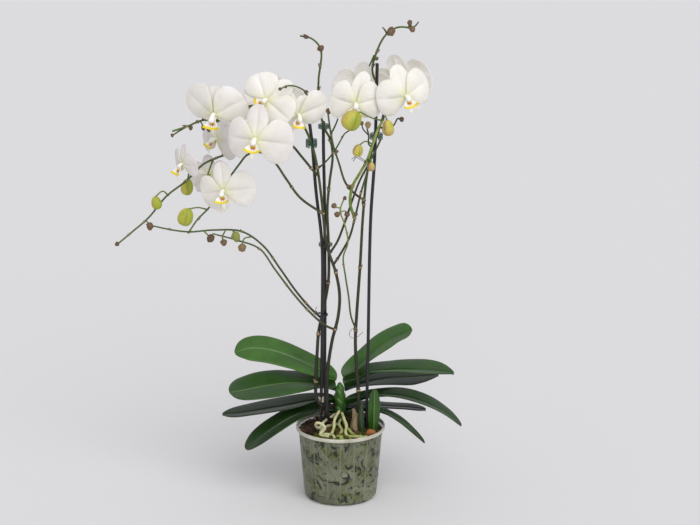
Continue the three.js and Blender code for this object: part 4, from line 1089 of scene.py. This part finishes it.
# %% Tepals
def tepal_part(angle, length, width, full, claw, set_back, sweep, dome, crease, frill, tone,
               skew=0.0, tip=0.0, phase=0.0):
    """Rows s run from the centre outwards, columns t from -1 to 1 across. Half width = width / 2 (4 s (1 -
    s))^full (1 - claw (1 - s)^(1.6 / full)), so a small full makes a broad round tepal. Depth behind the
    flower's face = set back + length sin(sweep) s + 0.004 spread^2 - dome sin(pi |t|) sin(pi s) + crease
    exp(-(spread / 1.8)^2) + frill t^4 s sin(11 s + phase) + tip s^6."""
    s = ((1 - np.cos(np.linspace(0.05, np.pi, 30))) / 2)[:, None]
    even = np.linspace(-1, 1, 25)
    t = (np.sign(even) * np.abs(even) ** 1.15)[None]
    a, b = math.radians(angle), math.radians(sweep)
    outward, side = np.array([math.sin(a), 0, math.cos(a)]), np.array([math.cos(a), 0, -math.sin(a)])
    half = width / 2 * np.maximum(4 * s * (1 - s), 0) ** full * (1 - claw * (1 - s) ** (1.6 / full))
    spread = half * (t + skew * (1 - t**2) * s)
    edge = 1 + 0.018 * np.sin(13 * s + phase) * np.abs(t) ** 3
    belly = dome * np.sin(np.pi * np.abs(t)) * np.sin(np.pi * s)
    midvein = crease * np.exp(-(spread / 1.8) ** 2) * np.sin(np.pi * s)
    ruffle = frill * t**4 * np.sin(11 * s + phase) * s
    depth = set_back + length * math.sin(b) * s + 0.004 * spread**2 - belly + midvein + ruffle + tip * s**6
    reach = 1 + length * math.cos(b) * s * (1 + 0 * t)
    back = np.array([0, 1, 0])
    points = outward * reach[..., None] + side * (spread * edge)[..., None] + back * depth[..., None]
    return grid_part(points, u=(t + 1) / 2, v=s, tone=tone)


# %% Lip and column
def lip_part():
    """The cup hangs from the column like an open fan. With v from its top to its rim, u from -1 to 1 across
    and bend = 78 u degrees, R = 2.4 + 8.8 v, x = R sin(bend), z = -2.6 - 11.4 v^1.1 + 0.5 R (1 -
    cos(bend)), and its sides come forwards. Its rim is yellow, and above it are rust bars. The tongue is a
    small kite from the rim down to two thin curled whiskers. Between them and the column sits the callus, a
    warty yellow knob."""
    v = np.linspace(0, 1, 20)[:, None]
    u = np.linspace(-1, 1, 33)[None]
    bend = np.radians(78) * u
    radius = (2.4 + 8.8 * v) * (1 + 0.06 * np.cos(4 * bend) * v)
    lift = radius * (1 - np.cos(bend))
    x = radius * np.sin(bend)
    y = -3.5 - 8.0 * v - 0.35 * lift - 1.6 * v**4
    z = -2.6 - 11.4 * v**1.1 + 0.5 * lift + 0 * u
    yellow = np.clip((v - 0.74) / 0.14, 0, 1) * (0.66 + 0.34 * np.abs(u))
    red = np.clip(1.15 - np.abs(v - 0.55) / 0.24, 0, 1) * np.clip(1.35 - np.abs(u) / 0.42, 0, 1)
    cup = grid_part(np.stack([x, y, z], -1), v=v, tone=red, extra=yellow)

    s = np.linspace(0, 1, 16)[:, None]
    t = np.linspace(-1, 1, 9)[None]
    half = 3.4 * (1 - s) ** 0.7 * (1 - 0.35 * np.exp(-((s - 0.1) / 0.12) ** 2)) + 0.35
    tongue = grid_part(np.stack([
        half * t + 0 * s, -12.2 + 1.8 * s + 0.09 * (half * t) ** 2, -12.4 - 9.5 * s + 0 * t], -1),
        tone=0.0, extra=0.5 * (1 - s) ** 2 + 0 * t)

    whiskers = [tube_part(line_through([
        (hand * 0.4, -10.6, -21.4), (hand * 1.4, -11.2, -23.4), (hand * 2.4, -12.8, -23.8),
        (hand * 2.6, -13.8, -22.4)],
        0.6), 0.3, sides=6, tone=0.0, extra=0.3) for hand in (-1, 1)]
    knob = egg([0, -8.4, -6.2], [2.8, 2.0, 1.8], tone=0.4, extra=0.95, bumps=0.18)
    return cup, joined([tongue, knob, *whiskers])


def egg(centre, half, tone=0.5, extra=0.0, bumps=0.0, rows=14, columns=17, point=0.0):
    """An ellipsoid, longest upwards: ring radius = sin(pi s) (1 - point cos(pi s)) (1 + bumps cos(5 angle)
    sin(3 pi s)), with s from the lower end to the upper one."""
    s = np.linspace(0, 1, rows)[:, None]
    angle = np.linspace(0, 2 * np.pi, columns)[None].copy()
    angle[0, -1] = 0
    lumps = 1 + bumps * np.cos(5 * angle) * np.sin(3 * np.pi * s)
    ring = np.sin(np.pi * s) * (1 - point * np.cos(np.pi * s)) * lumps
    points = np.stack([ring * np.cos(angle) * half[0], ring * np.sin(angle) * half[1],
                       -np.cos(np.pi * s) * half[2] + 0 * angle], -1)
    return grid_part(points + np.array(centre), tone=tone, extra=extra)


def column_part():
    """A tube that runs forwards and bows down, widest at its rounded cap."""
    line = line_through([(0, 5, 0.4), (0, -1, 1.4), (0, -6, 0.8), (0, -9.4, -1.6)], 0.7)
    s = np.linspace(0, 1, len(line))
    body = tube_part(line, 2.3 + 1.5 * s**1.4, sides=14, tone=0.0, extra=0.18 * (1 - s))
    cap = egg([0, -9.9, -2.2], [2.9, 2.3, 2.2], tone=0.0)
    return joined([body, cap])


print("one tepal has", len(tepal_part(0, 45, 29, 0.48, 0.3, 2, 10, 1, 1, 1, 0)["faces"]), "quads")

# %% The flowers, each with its place, size and pose
# turn is to the right, nod downwards and roll clockwise seen from the front, all in degrees, and sweep is
# how far the tepals bend back. Then each tepal may have its own change: (degrees clockwise, share of
# length, share of width).
PETAL, SEPAL = (84, 46, 59), (140, 45, 29)
HIDDEN = {"low_left": (28, 0.72, 0.9), "low_right": (-28, 0.72, 0.9)}  # lateral sepals behind the petals
# The number after the pose is each flower's painted shade: how far its petal tips are mixed towards mauve
# grey, highest on flowers that face away or sit in shadow behind others.
FLOWERS = [
    ("flower_01", "spike_left", (-162, -44, 537), 1.0, (-20, 26, 4, 22), 0.12,
     {**HIDDEN, "left": (19, 1, 1), "right": (-22, 0.95, 1), "dorsal": (0, 0.8, 0.9)}),
    ("flower_02", "spike_left", (-86, 44, 531), 0.92, (175, 0, -4, 10), 0.3, {}),
    ("flower_03", "spike_left", (-95, -55, 559), 0.86, (-8, -7, 55, 10), 0.05,
     {"left": (10, 0.88, 0.95), "right": (-10, 1, 1), "low_left": (12, 0.8, 1)}),
    ("flower_04", "branch_arch_inner", (-108, -83, 513), 1.0, (-12, 2, 4, 14), 0.4,
     {**HIDDEN, "left": (-8, 0.82, 0.96), "right": (9, 1.04, 1.06)}),
    ("flower_05", "branch_arch_outer", (-163, 20, 490), 0.85, (-52, -6, 4, 8), 0.6,
     {**HIDDEN, "dorsal": (8, 0.95, 0.9)}),
    ("flower_06", "branch_arch_outer", (-206, -8, 463), 0.58, (-55, 8, 0, 12), 0.6, HIDDEN),
    ("flower_07", "branch_arch_inner", (-152, -32, 433), 0.93, (-14, 6, -10, 14), 0.2,
     {"left": (-10, 0.78, 0.9), "right": (10, 0.98, 0.95), "dorsal": (2, 0.9, 0.92),
      "low_left": (-14, 0.82, 0.9), "low_right": (-40, 0.7, 0.9)}),
    ("flower_08", "spike_left", (-54, -37, 535), 0.9, (22, 24, 18, 12), 0.05,
     {"right": (-24, 1.02, 1.05), "dorsal": (0, 0.6, 0.8),
      "low_left": (-34, 0.85, 0.9), "low_right": (-30, 0.7, 0.9)}),
    ("flower_09", "spike_right", (20, -22, 546), 0.93, (4, 6, 12, 16), 0.0,
     {**HIDDEN, "left": (-3, 0.78, 0.98), "right": (-16, 0.82, 0.95), "dorsal": (7, 1.02, 0.9)}),
    ("flower_10", "spike_right", (85, -20, 556), 0.92, (22, 4, -14, 20), 0.0,
     {"left": (0, 0.86, 0.98), "right": (-6, 0.96, 0.95), "low_left": (28, 0.7, 0.9),
      "low_right": (0, 0.9, 0.8)}),
    ("flower_11", "spike_right", (82, 52, 559), 0.9, (168, 0, 17, 10), 0.3, {}),
    ("flower_12", "branch_arch_outer", (-174, 62, 433), 0.62, (172, 0, 4, 10), 0.7, {}),
    ("flower_13", "spike_right", (28, 50, 551), 0.85, (178, 4, -6, 12), 0.3, {}),
]
LIP_SHARE = {"flower_06": 1.5}  # lips that are big for their flower


def turned(turn, nod, roll):
    """The 3 x 3 matrix of a roll about Y, then a nod about X, then a turn about Z."""
    a, b, c = (math.radians(x) for x in (nod, roll, turn))
    rx = np.array([[1, 0, 0], [0, math.cos(a), -math.sin(a)], [0, math.sin(a), math.cos(a)]])
    ry = np.array([[math.cos(b), 0, math.sin(b)], [0, 1, 0], [-math.sin(b), 0, math.cos(b)]])
    rz = np.array([[math.cos(c), -math.sin(c), 0], [math.sin(c), math.cos(c), 0], [0, 0, 1]])
    return rz @ rx @ ry


def stalk_part(stem, end, behind, radius=1.1, tone=(0.6, 0.95), route=()):
    """A stalk along its route and in to its end. With no route it leaves the nearest point of its stem and
    bends in from straight behind the flower."""
    start = lines[stem][np.argmin(np.linalg.norm(lines[stem] - end, axis=1))]
    bend = end + behind * 0.4 * np.linalg.norm(end - start)
    line = line_through([*route, end] if route else [start, bend, end], 1.5)
    s = np.linspace(0, 1, len(line))
    thick = radius * (1.15 - 0.2 * np.sin(np.pi * s)) * (1 + 0.35 * np.exp(-(s / 0.08) ** 2))
    return tube_part(line, thick, sides=10, tone=tone[0] + (tone[1] - tone[0]) * s,
                     extra=0.5 * np.exp(-(s / 0.05) ** 2))


for i, (name, stem, centre, size, (turn, nod, roll, sweep), painted_shade, changes) in enumerate(FLOWERS):
    parts = []
    for key, (angle, length, width), full, claw, back, dome, crease, frill, skew in (
            ("dorsal", (0, *SEPAL[1:]), 0.46, 0.4, 2.2, 1.0, 0.7, 0.6, 0.0),
            ("low_right", SEPAL, 0.46, 0.4, 2.2, 1.0, 0.7, 0.6, 0.0),
            ("low_left", (-SEPAL[0], *SEPAL[1:]), 0.46, 0.4, 2.2, 1.0, 0.7, 0.6, 0.0),
            ("right", PETAL, 0.4, 0.85, 0.0, 2.2, 1.3, 1.0, 0.10),
            ("left", (-PETAL[0], *PETAL[1:]), 0.4, 0.85, 0.0, 2.2, 1.3, 1.0, -0.10)):
        more, longer, wider = changes.get(key, (0, 1, 1))
        parts.append(tepal_part(
            angle + more, length * longer, width * wider, full, claw, back, sweep, dome, crease, frill,
            painted_shade, skew=skew, tip=rng.uniform(-1.5, 3.0), phase=rng.uniform(0, 6)))
    matrix = turned(turn, nod, roll) * size
    place = np.array(centre, float)
    lip_matrix = matrix * LIP_SHARE.get(name, 1.0)
    tepals = moved(joined(parts), matrix, place)
    cup, tongue = (moved(part, lip_matrix, place) for part in lip_part())
    add_piece(name + "_tepals", tepals, petal, [name], thickness=0.7, subdivide=1)
    add_piece(name + "_lip", cup, lip_paint, [name], thickness=0.7, subdivide=1)
    add_piece(name + "_tongue", tongue, lip_paint, [name], subdivide=1)
    add_piece(name + "_column", moved(column_part(), matrix, place), lip_paint, [name])
    back = place + matrix @ np.array([0, 2, 0])
    stalk = stalk_part(stem, back, matrix @ np.array([0, 1, 0]) / size)
    add_piece(name + "_stalk", stalk, stem_paint, [name])
print("flowers:", len(FLOWERS))

# %% [markdown]
# ## Buds
#
# A bud is an egg whose three sepals meet in seams, each seam a shallow groove that winds a little. Spent
# buds and stubs on the spikes are small, brown and wrinkled.

# %% Buds
# Each entry: the stem, centre, half sizes across, deep and long, lean in degrees, brownness, and the route
# of its stalk from the stem to just before the bud, where that isn't the shortest way.
BUDS = {
    "bud_big": ("branch_light_front", (15, -51, 532), (12.5, 12, 13.5), 34, 0.22, [
        (55, -13, 523), (46, -24, 527), (36, -38, 534), (27, -47, 541)]),
    "bud_right": ("branch_light_front", (62, -22, 515), (7.8, 7.5, 10.5), -6, 0.5,
                  [(55.5, -13, 523), (58, -19, 530)]),
    "bud_centre": ("branch_light_front", (23, -30, 487), (6.6, 6.5, 8), 12, 0.4,
                   [(42, -20, 493), (33, -25, 498)]),
    "bud_brown": ("branch_light_front", (40, -32, 466), (5, 5, 6), 0, 0.7, []),
    "bud_left_yellow": ("branch_arch_outer", (-203, 30, 423), (8.2, 8, 11), 8, 0.24, []),
    "bud_left_green": ("branch_arch_outer", (-241, -7, 411), (6.8, 6.5, 8.8), -12, 0.1, [
        (-226, 2, 419), (-233, -4, 426)]),
    "bud_left_low": ("branch_arch_inner", (-202, -22, 396), (10, 9.5, 12), 20, 0.08, [
        (-174, -8, 402), (-186, -16, 407)]),
}


def bud_part(half, brown, phase):
    """Ring radius = sin(pi s)^0.82 (1 + 0.14 cos(pi s)) (1 - 0.09 g sin(pi s)), where g = exp(-(1 -
    |cos(1.5 (angle + 0.7 s + phase))|) / 0.02) is 1 on a seam. Heights run from the tip, at the bottom, to
    the stalk."""
    s = np.linspace(0, 1, 44)[:, None]
    angle = np.linspace(0, 2 * np.pi, 73)[None].copy()
    wind = angle + 0.7 * s + phase
    seam = np.exp(-(1 - np.abs(np.cos(1.5 * wind))) / 0.02)
    ring = np.sin(np.pi * s) ** 0.82 * (1 + 0.14 * np.cos(np.pi * s)) * (1 - 0.09 * seam * np.sin(np.pi * s))
    ring[[0, -1]] = 0
    points = np.stack([ring * np.cos(angle) * half[0], ring * np.sin(angle) * half[1],
                       -np.cos(np.pi * s) * half[2] + 0 * angle], -1)
    points[:, -1] = points[:, 0]
    # One side of each bud, the one that faces back and to the left, is drawn browner.
    flush = np.clip(brown + 0.35 * np.cos(angle - 2.6) * (0.3 + 0.7 * s) + 0 * s, 0, 1)
    return grid_part(points, tone=flush, extra=seam * np.sin(np.pi * s))


for i, (name, (stem, centre, half, lean, brown, route)) in enumerate(BUDS.items()):
    matrix = turned(0, 0, lean)
    sepals = moved(bud_part(half, brown, 0.8 + 1.1 * i), matrix, centre)
    add_piece(name + "_sepals", sepals, bud_paint, [name])
    end = np.array(centre) + matrix @ np.array([0, 0, half[2] - 0.8])
    stalk = stalk_part(stem, end, matrix @ np.array([0, 0, 1]), 0.95, (0.6, 0.8), route)
    add_piece(name + "_stalk", stalk, stem_paint, [name])
print("buds:", len(BUDS))

# %% Spent buds, stubs and small branches
# Each spent bud: centre, half width, half height, lean, and freshness from brown to green.
KNOBS = [
    ((-194, -9, 512), 2.6, 3.4, 10, 0.3), ((-178, -5, 511), 2.8, 3.4, 0, 0.3),
    ((-171, -1, 508), 3.0, 3.6, 0, 0.4), ((-178, 0, 522), 2.0, 2.4, 0, 0.4),
    ((-25, 6, 614), 4.6, 3.8, 30, 0.3), ((-44, 6, 629), 3.6, 2.6, -10, 0.2),
    ((66, 5, 636), 6.2, 4.6, 60, 0.35), ((90, 6, 647), 3.6, 4.2, 0, 0.3), ((93, 6, 639), 4.2, 3.6, 70, 0.4),
    ((47, 9, 600), 3.0, 2.6, 0, 0.3), ((-44, -20, 562), 3.0, 2.6, 0, 0.3),
    ((-76, -63, 575), 2.4, 2.2, 0, 0.3), ((-69, -59, 577), 2.0, 2.0, 0, 0.3),
    ((-15, 5, 531), 3.4, 4.2, 0, 0.4), ((36, -27, 520), 3.6, 4.8, 0, 0.6),
    ((28, -27, 522), 2.6, 3.2, 0, 0.3), ((80, -3, 522), 3.6, 3.4, 0, 0.2),
    ((-251, 0, 377), 4.6, 5.6, 0, 0.3), ((-137, -12, 366), 5.6, 7.2, -16, 0.85),
    ((-129, -16, 352), 5.4, 5.6, -20, 0.5), ((-154, 3, 354), 5.0, 4.6, 20, 0.45),
    ((-171, 2, 360), 6.0, 4.4, 70, 0.25), ((-8, -15, 409), 3.6, 3.6, 40, 0.4),
    ((-4, -14, 397), 3.8, 3.8, 0, 0.35), ((9, -14, 397), 3.8, 4.2, 0, 0.3),
    ((6, -14, 419), 2.8, 2.2, 60, 0.25), ((11, -17, 435), 3.4, 3.2, 20, 0.3),
    ((20, -17, 398), 3.2, 2.8, 0, 0.25), ((-295, 0, 353), 3.0, 3.2, 60, 0.2),
    ((-4, -19, 483), 2.4, 2.0, 0, 0.35), ((-218, -13, 503), 2.2, 2.6, 20, 0.3),
]
knobs = []
for i, (centre, wide, high, lean, fresh) in enumerate(KNOBS):
    shape = egg([0, 0, 0], [wide, 0.85 * wide, high], tone=fresh, bumps=0.16, rows=18, columns=21, point=0.2)
    knobs.append(moved(shape, turned(40 * i, 0, lean), centre))
add_piece("spent_buds", joined(knobs), knob_paint)

# Each small branch: radius at the foot and at the tip, tone, route.
TWIGS = [
    (1.3, 1.0, 0.6, [(-28, 12, 540), (-34, 4, 550), (-43, -12, 557), (-46, -26, 565), (-57, -46, 575),
                     (-67, -58, 578), (-76, -63, 575)]),
    (1.2, 0.9, 0.6, [(92, 8, 640.5), (97, 8, 643), (101, 8, 648)]),
    (1.3, 0.8, 0.5, [(-202, -12, 513), (-210, -12, 508), (-219, -12, 502)]),
    (1.3, 0.9, 0.5, [(60, 8, 634), (57, 7, 639), (55, 7, 641)]),
    (1.3, 1.0, 0.6, [(44, 9, 604), (41, 10, 597), (38, 11, 590)]),
    (1.2, 1.0, 0.5, [(-11, 5, 503), (-7, 4, 511), (-3, 4, 521)]),
    (1.2, 1.0, 0.35, [(42, -19, 488), (37, -23, 494), (37, -25, 506), (35, -26, 514)]),
    (1.0, 0.8, 0.3, [(37, -25, 506), (30, -26, 514), (28, -26, 520)]),
    (1.3, 1.0, 0.4, [(53, 11, 508), (62, 4, 508), (70, 0, 514), (75, -2, 523), (79, -3, 522)]),
    (1.0, 0.9, 0.75, [(-152, 2, 370), (-156, 2, 362), (-154, 2, 357)]),
    (1.0, 0.9, 0.75, [(-118, 6, 361), (-126, -4, 362), (-129, -12, 358)]),
    (1.1, 0.9, 0.75, [(-180, 2, 370), (-176, 2, 366), (-173, 2, 362)]),
    (1.0, 0.9, 0.75, [(-140, 0, 369), (-142, -8, 374), (-138, -11, 372)]),
    (0.9, 0.8, 0.8, [(1, -15, 402), (-2, -14, 399), (-4, -14, 397)]),
    (0.9, 0.8, 0.8, [(1, -15, 401), (6, -14, 402), (9, -14, 399)]),
    (0.9, 0.8, 0.8, [(1, -14, 406), (-5, -15, 407), (-8, -15, 409)]),
    (1.0, 0.8, 0.85, [(16, -22, 439), (13, -20, 438), (11, -17, 436)]),
]
twigs = []
twig_lines = []
for foot, tip, tone, route in TWIGS:
    line = line_through(route, 1.2)
    twig_lines.append(line)
    twigs.append(tube_part(line, np.linspace(foot, tip, len(line)), sides=8, tone=tone))
wood = np.concatenate([*lines.values(), *twig_lines])
for centre, wide, *_ in KNOBS:  # a short stalk for every spent bud that hangs clear of its stem
    gap = np.linalg.norm(wood - centre, axis=1)
    start = wood[np.argmin(gap)]
    if wide * 0.6 < gap.min() < 18:
        bend = (start + centre) / 2 + np.array([0, 0, 0.25 * gap.min()])
        twigs.append(tube_part(line_through([start, bend, centre], 1.2), 0.85, sides=8, tone=0.6))
add_piece("twigs", joined(twigs), stem_paint)
print("spent buds:", len(KNOBS), "small branches:", len(TWIGS))


# %% Bracts
def bract(line, place, size):
    """A dry scale at a joint: a small pointed sheet, half wrapped round the stem and standing away at its
    tip. Its radius is size (1 + 0.55 s), its half angle 1.5 (1 - s^1.5), and it rises 2.4 size s along the
    stem."""
    s = np.linspace(0, 1, 8)[:, None]
    t = np.linspace(-1, 1, 9)[None]
    direction = line[min(place + 2, len(line) - 1)] - line[place - 2]
    direction = direction / np.linalg.norm(direction)
    side = np.cross(direction, rng.normal(size=3))
    side /= np.linalg.norm(side)
    up = np.cross(direction, side)
    angle = 1.5 * (1 - s**1.5) * t
    radius = size * (1.0 + 0.55 * s)
    ring = np.cos(angle)[..., None] * side + np.sin(angle)[..., None] * up
    rise = direction * (size * 2.4 * s - 1.0)[..., None]
    return grid_part(line[place] + ring * radius[..., None] + rise)


bracts = []
for name, joints in JOINTS.items():
    for x, z in joints:
        line = lines[name]
        place = int(np.clip(np.argmin(np.hypot(line[:, 0] - x, line[:, 2] - z)), 3, len(line) - 3))
        bracts.append(bract(line, place, STEMS[name][0] * 0.95))
add_piece("bracts", joined(bracts), husk_paint, thickness=0.25)
print("bracts:", len(bracts))

# %% [markdown]
# ## Clips, ties and wires
#
# Growers clip a spike to its stake with small split rings of clear tinted plastic with two finger tabs, and
# tie it with thin coated wire. The pale ring at the foot of a stake is a label ring of white plastic.

# %% Clips and ties
CLIPS = {
    "clip_left": ((-37.5, -1.7, 490), 6.3, 0.9, 11), "clip_middle": ((-21.4, 13.8, 509), 6.2, 0.9, 6),
    "clip_right": ((47.2, 4.6, 498), 7.4, 0.9, 8), "tie_upper": ((-19.6, 1.6, 352), 8.3, 0.8, 6),
    "tie_lower": ((-24, -1.8, 256), 6.5, 0.8, 4), "ring_low": ((-26, -6, 138), 2.9, 1.0, 8),
}


def clip_part(centre, inner, wall, height, teeth):
    """A split ring: a rounded outline carried 330 degrees round, with teeth on its outside, closed at both
    ends, and two finger tabs, short round rods that stand out from the split."""
    t = np.linspace(0, 2 * np.pi, 13)
    angle = np.radians(np.linspace(-75, 255, 60))
    across = (inner + wall / 2) + wall / 2 * np.sign(np.cos(t)) * np.abs(np.cos(t)) ** 0.5
    up = height / 2 * np.sign(np.sin(t)) * np.abs(np.sin(t)) ** 0.5
    radius = across[None] + teeth * 0.45 * np.cos(24 * angle)[:, None] * (np.cos(t) > 0)[None]
    points = np.stack([radius * np.cos(angle)[:, None], radius * np.sin(angle)[:, None], up + 0 * radius], -1)
    ends = [end.mean(1, keepdims=True) + 0 * end for end in (points[:1], points[-1:])]
    ring = grid_part(np.concatenate([ends[0], points, ends[1]])[:, ::-1])
    tabs = []
    for hand in (-1, 1):
        a = math.radians(-90 + 15 * hand)
        root = np.array([math.cos(a), math.sin(a), 0]) * (inner + wall * 0.6)
        away = np.array([hand * 0.5, -0.85, 0]) * (2.4 + 0.3 * inner)
        tabs.append(tube_part(line_through([root, root + away * 0.5, root + away], 0.6), 0.9, sides=8))
    whole = joined([ring, *(tabs if teeth else [])])
    return moved(whole, np.eye(3), centre)


for name, (centre, inner, wall, height) in CLIPS.items():
    teeth = name.startswith("clip")
    material = clip_paint if teeth else stake_paint if name.startswith("tie") else milky_paint
    if name.startswith("tie"):  # three turns of thin coated wire instead of a band
        turn = np.linspace(0, 6 * np.pi, 120)
        wavy = inner + 0.35 + 0.25 * np.sin(5 * turn)
        coil = np.stack([centre[0] + wavy * np.cos(turn), centre[1] + wavy * np.sin(turn),
                         centre[2] + (turn / (6 * np.pi) - 0.5) * height * 0.8 + 0.6 * np.sin(turn)], -1)
        wire = tube_part(coil, 0.42, sides=8, tone=0.1)
        add_piece(name + "_wire", wire, wire_paint, [name])
    else:
        ring = clip_part(centre, inner, wall, height, 1.0 if teeth else 0.0)
        add_piece(name + "_ring", ring, material, [name])

WIRES = [  # radius, bareness and route of each loose end of wire
    (0.42, 0.0, [(47, -6, 470), (40, -12, 472), (34, -25, 471), (28, -28, 476), (22, -28, 479),
                 (15, -27, 475)]),
    (0.42, 0.0, [(33, -26, 470), (27, -28, 474), (21, -27, 477), (17, -27, 472)]),
    (0.38, 0.6, [(21, -11, 240), (15, -13, 239), (12, -14, 233), (14, -14, 228), (19, -13, 227),
                 (23, -14, 229), (27, -15, 233), (30, -16, 236)]),
    (0.38, 0.5, [(-30, -12, 262), (-33, -13, 266), (-31, -13, 270)]),
    (0.38, 0.9, [(-33, -7, 98), (-31, -13, 95), (-25, -14, 96), (-20, -10, 98), (-22, -5, 99)]),
]
add_piece("loose_wires", joined([tube_part(line_through(route, 0.8), radius, sides=6, tone=tone)
                                 for radius, tone, route in WIRES]), wire_paint)
print("clips and ties:", len(CLIPS), "loose wires:", len(WIRES))


# %% Old leaf sheaths and a bark splinter
def sheath(base, tip, bow, width, curl):
    """A curled strip from base to tip: half width = width / 2 sin(pi s)^0.6 (1.1 - 0.4 s), bent round its
    length by curl radians at each edge, and bowed sideways by bow sin(pi s)."""
    s = np.linspace(0.02, 1, 24)[:, None]
    t = np.linspace(-1, 1, 13)[None]
    base, tip, bow = (np.array(x, float) for x in (base, tip, bow))
    line = base + (tip - base) * s + bow * np.sin(np.pi * s)
    along = (tip - base) / np.linalg.norm(tip - base)
    side = np.cross(along, (0, 1, 0))
    side /= np.linalg.norm(side)
    face = np.cross(side, along)
    half = width / 2 * np.maximum(np.sin(np.pi * s), 0) ** 0.6 * (1.1 - 0.4 * s)
    points = line[:, None] + side * (half * np.sin(curl * t) / curl)[..., None]
    return grid_part(points + face * (half * (1 - np.cos(curl * t)) / curl)[..., None], tone=0.35)


add_piece("old_sheaths", joined([
    sheath((14, -16, 95), (17, -12, 128), (5, -2, 0), 15, 1.2),
    sheath((22, -22, 94), (22, -18, 120), (-3, -2, 0), 9, 1.0),
    sheath((-9, -2, 98), (-6, -2, 116), (-3, -2, 0), 8, 1.2)]), husk_paint, thickness=0.5)
add_piece("dark_strip", joined([sheath((30, -24, 92), (29, -22, 142), (-2, 0, 0), 9, 0.7)]), leaf_paint,
          thickness=0.9)
splinters = chips(np.array([(41.0, -33, 100), (36, -40, 94), (-40, -22, 91)]),
                  np.array([(7.0, 2.2, 10.5), (6, 4, 2), (7, 3, 2)]),
                  np.stack([turned(10, 8, 24), turned(30, 0, 10), turned(-40, 5, 0)]),
                  np.array([0.98, 0.8, 0.75]))
add_piece("bark_splinters", splinters, bark_paint)

# %% [markdown]
# ## Check against the solid model
#
# Every solid must be stood for by a piece, and the whole must keep the solid model's size.

# %% Check and finish
shown = [node for node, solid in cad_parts.items() if not solid.hide_render]
print("solids still shown:", shown)
bpy.context.view_layer.update()
visual_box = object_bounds()
growth = [[round(1000 * (b - a), 1) for a, b in zip(*pair)] for pair in zip(cad_box, visual_box)]
print("visual box minus solid box, in millimetres:", growth)
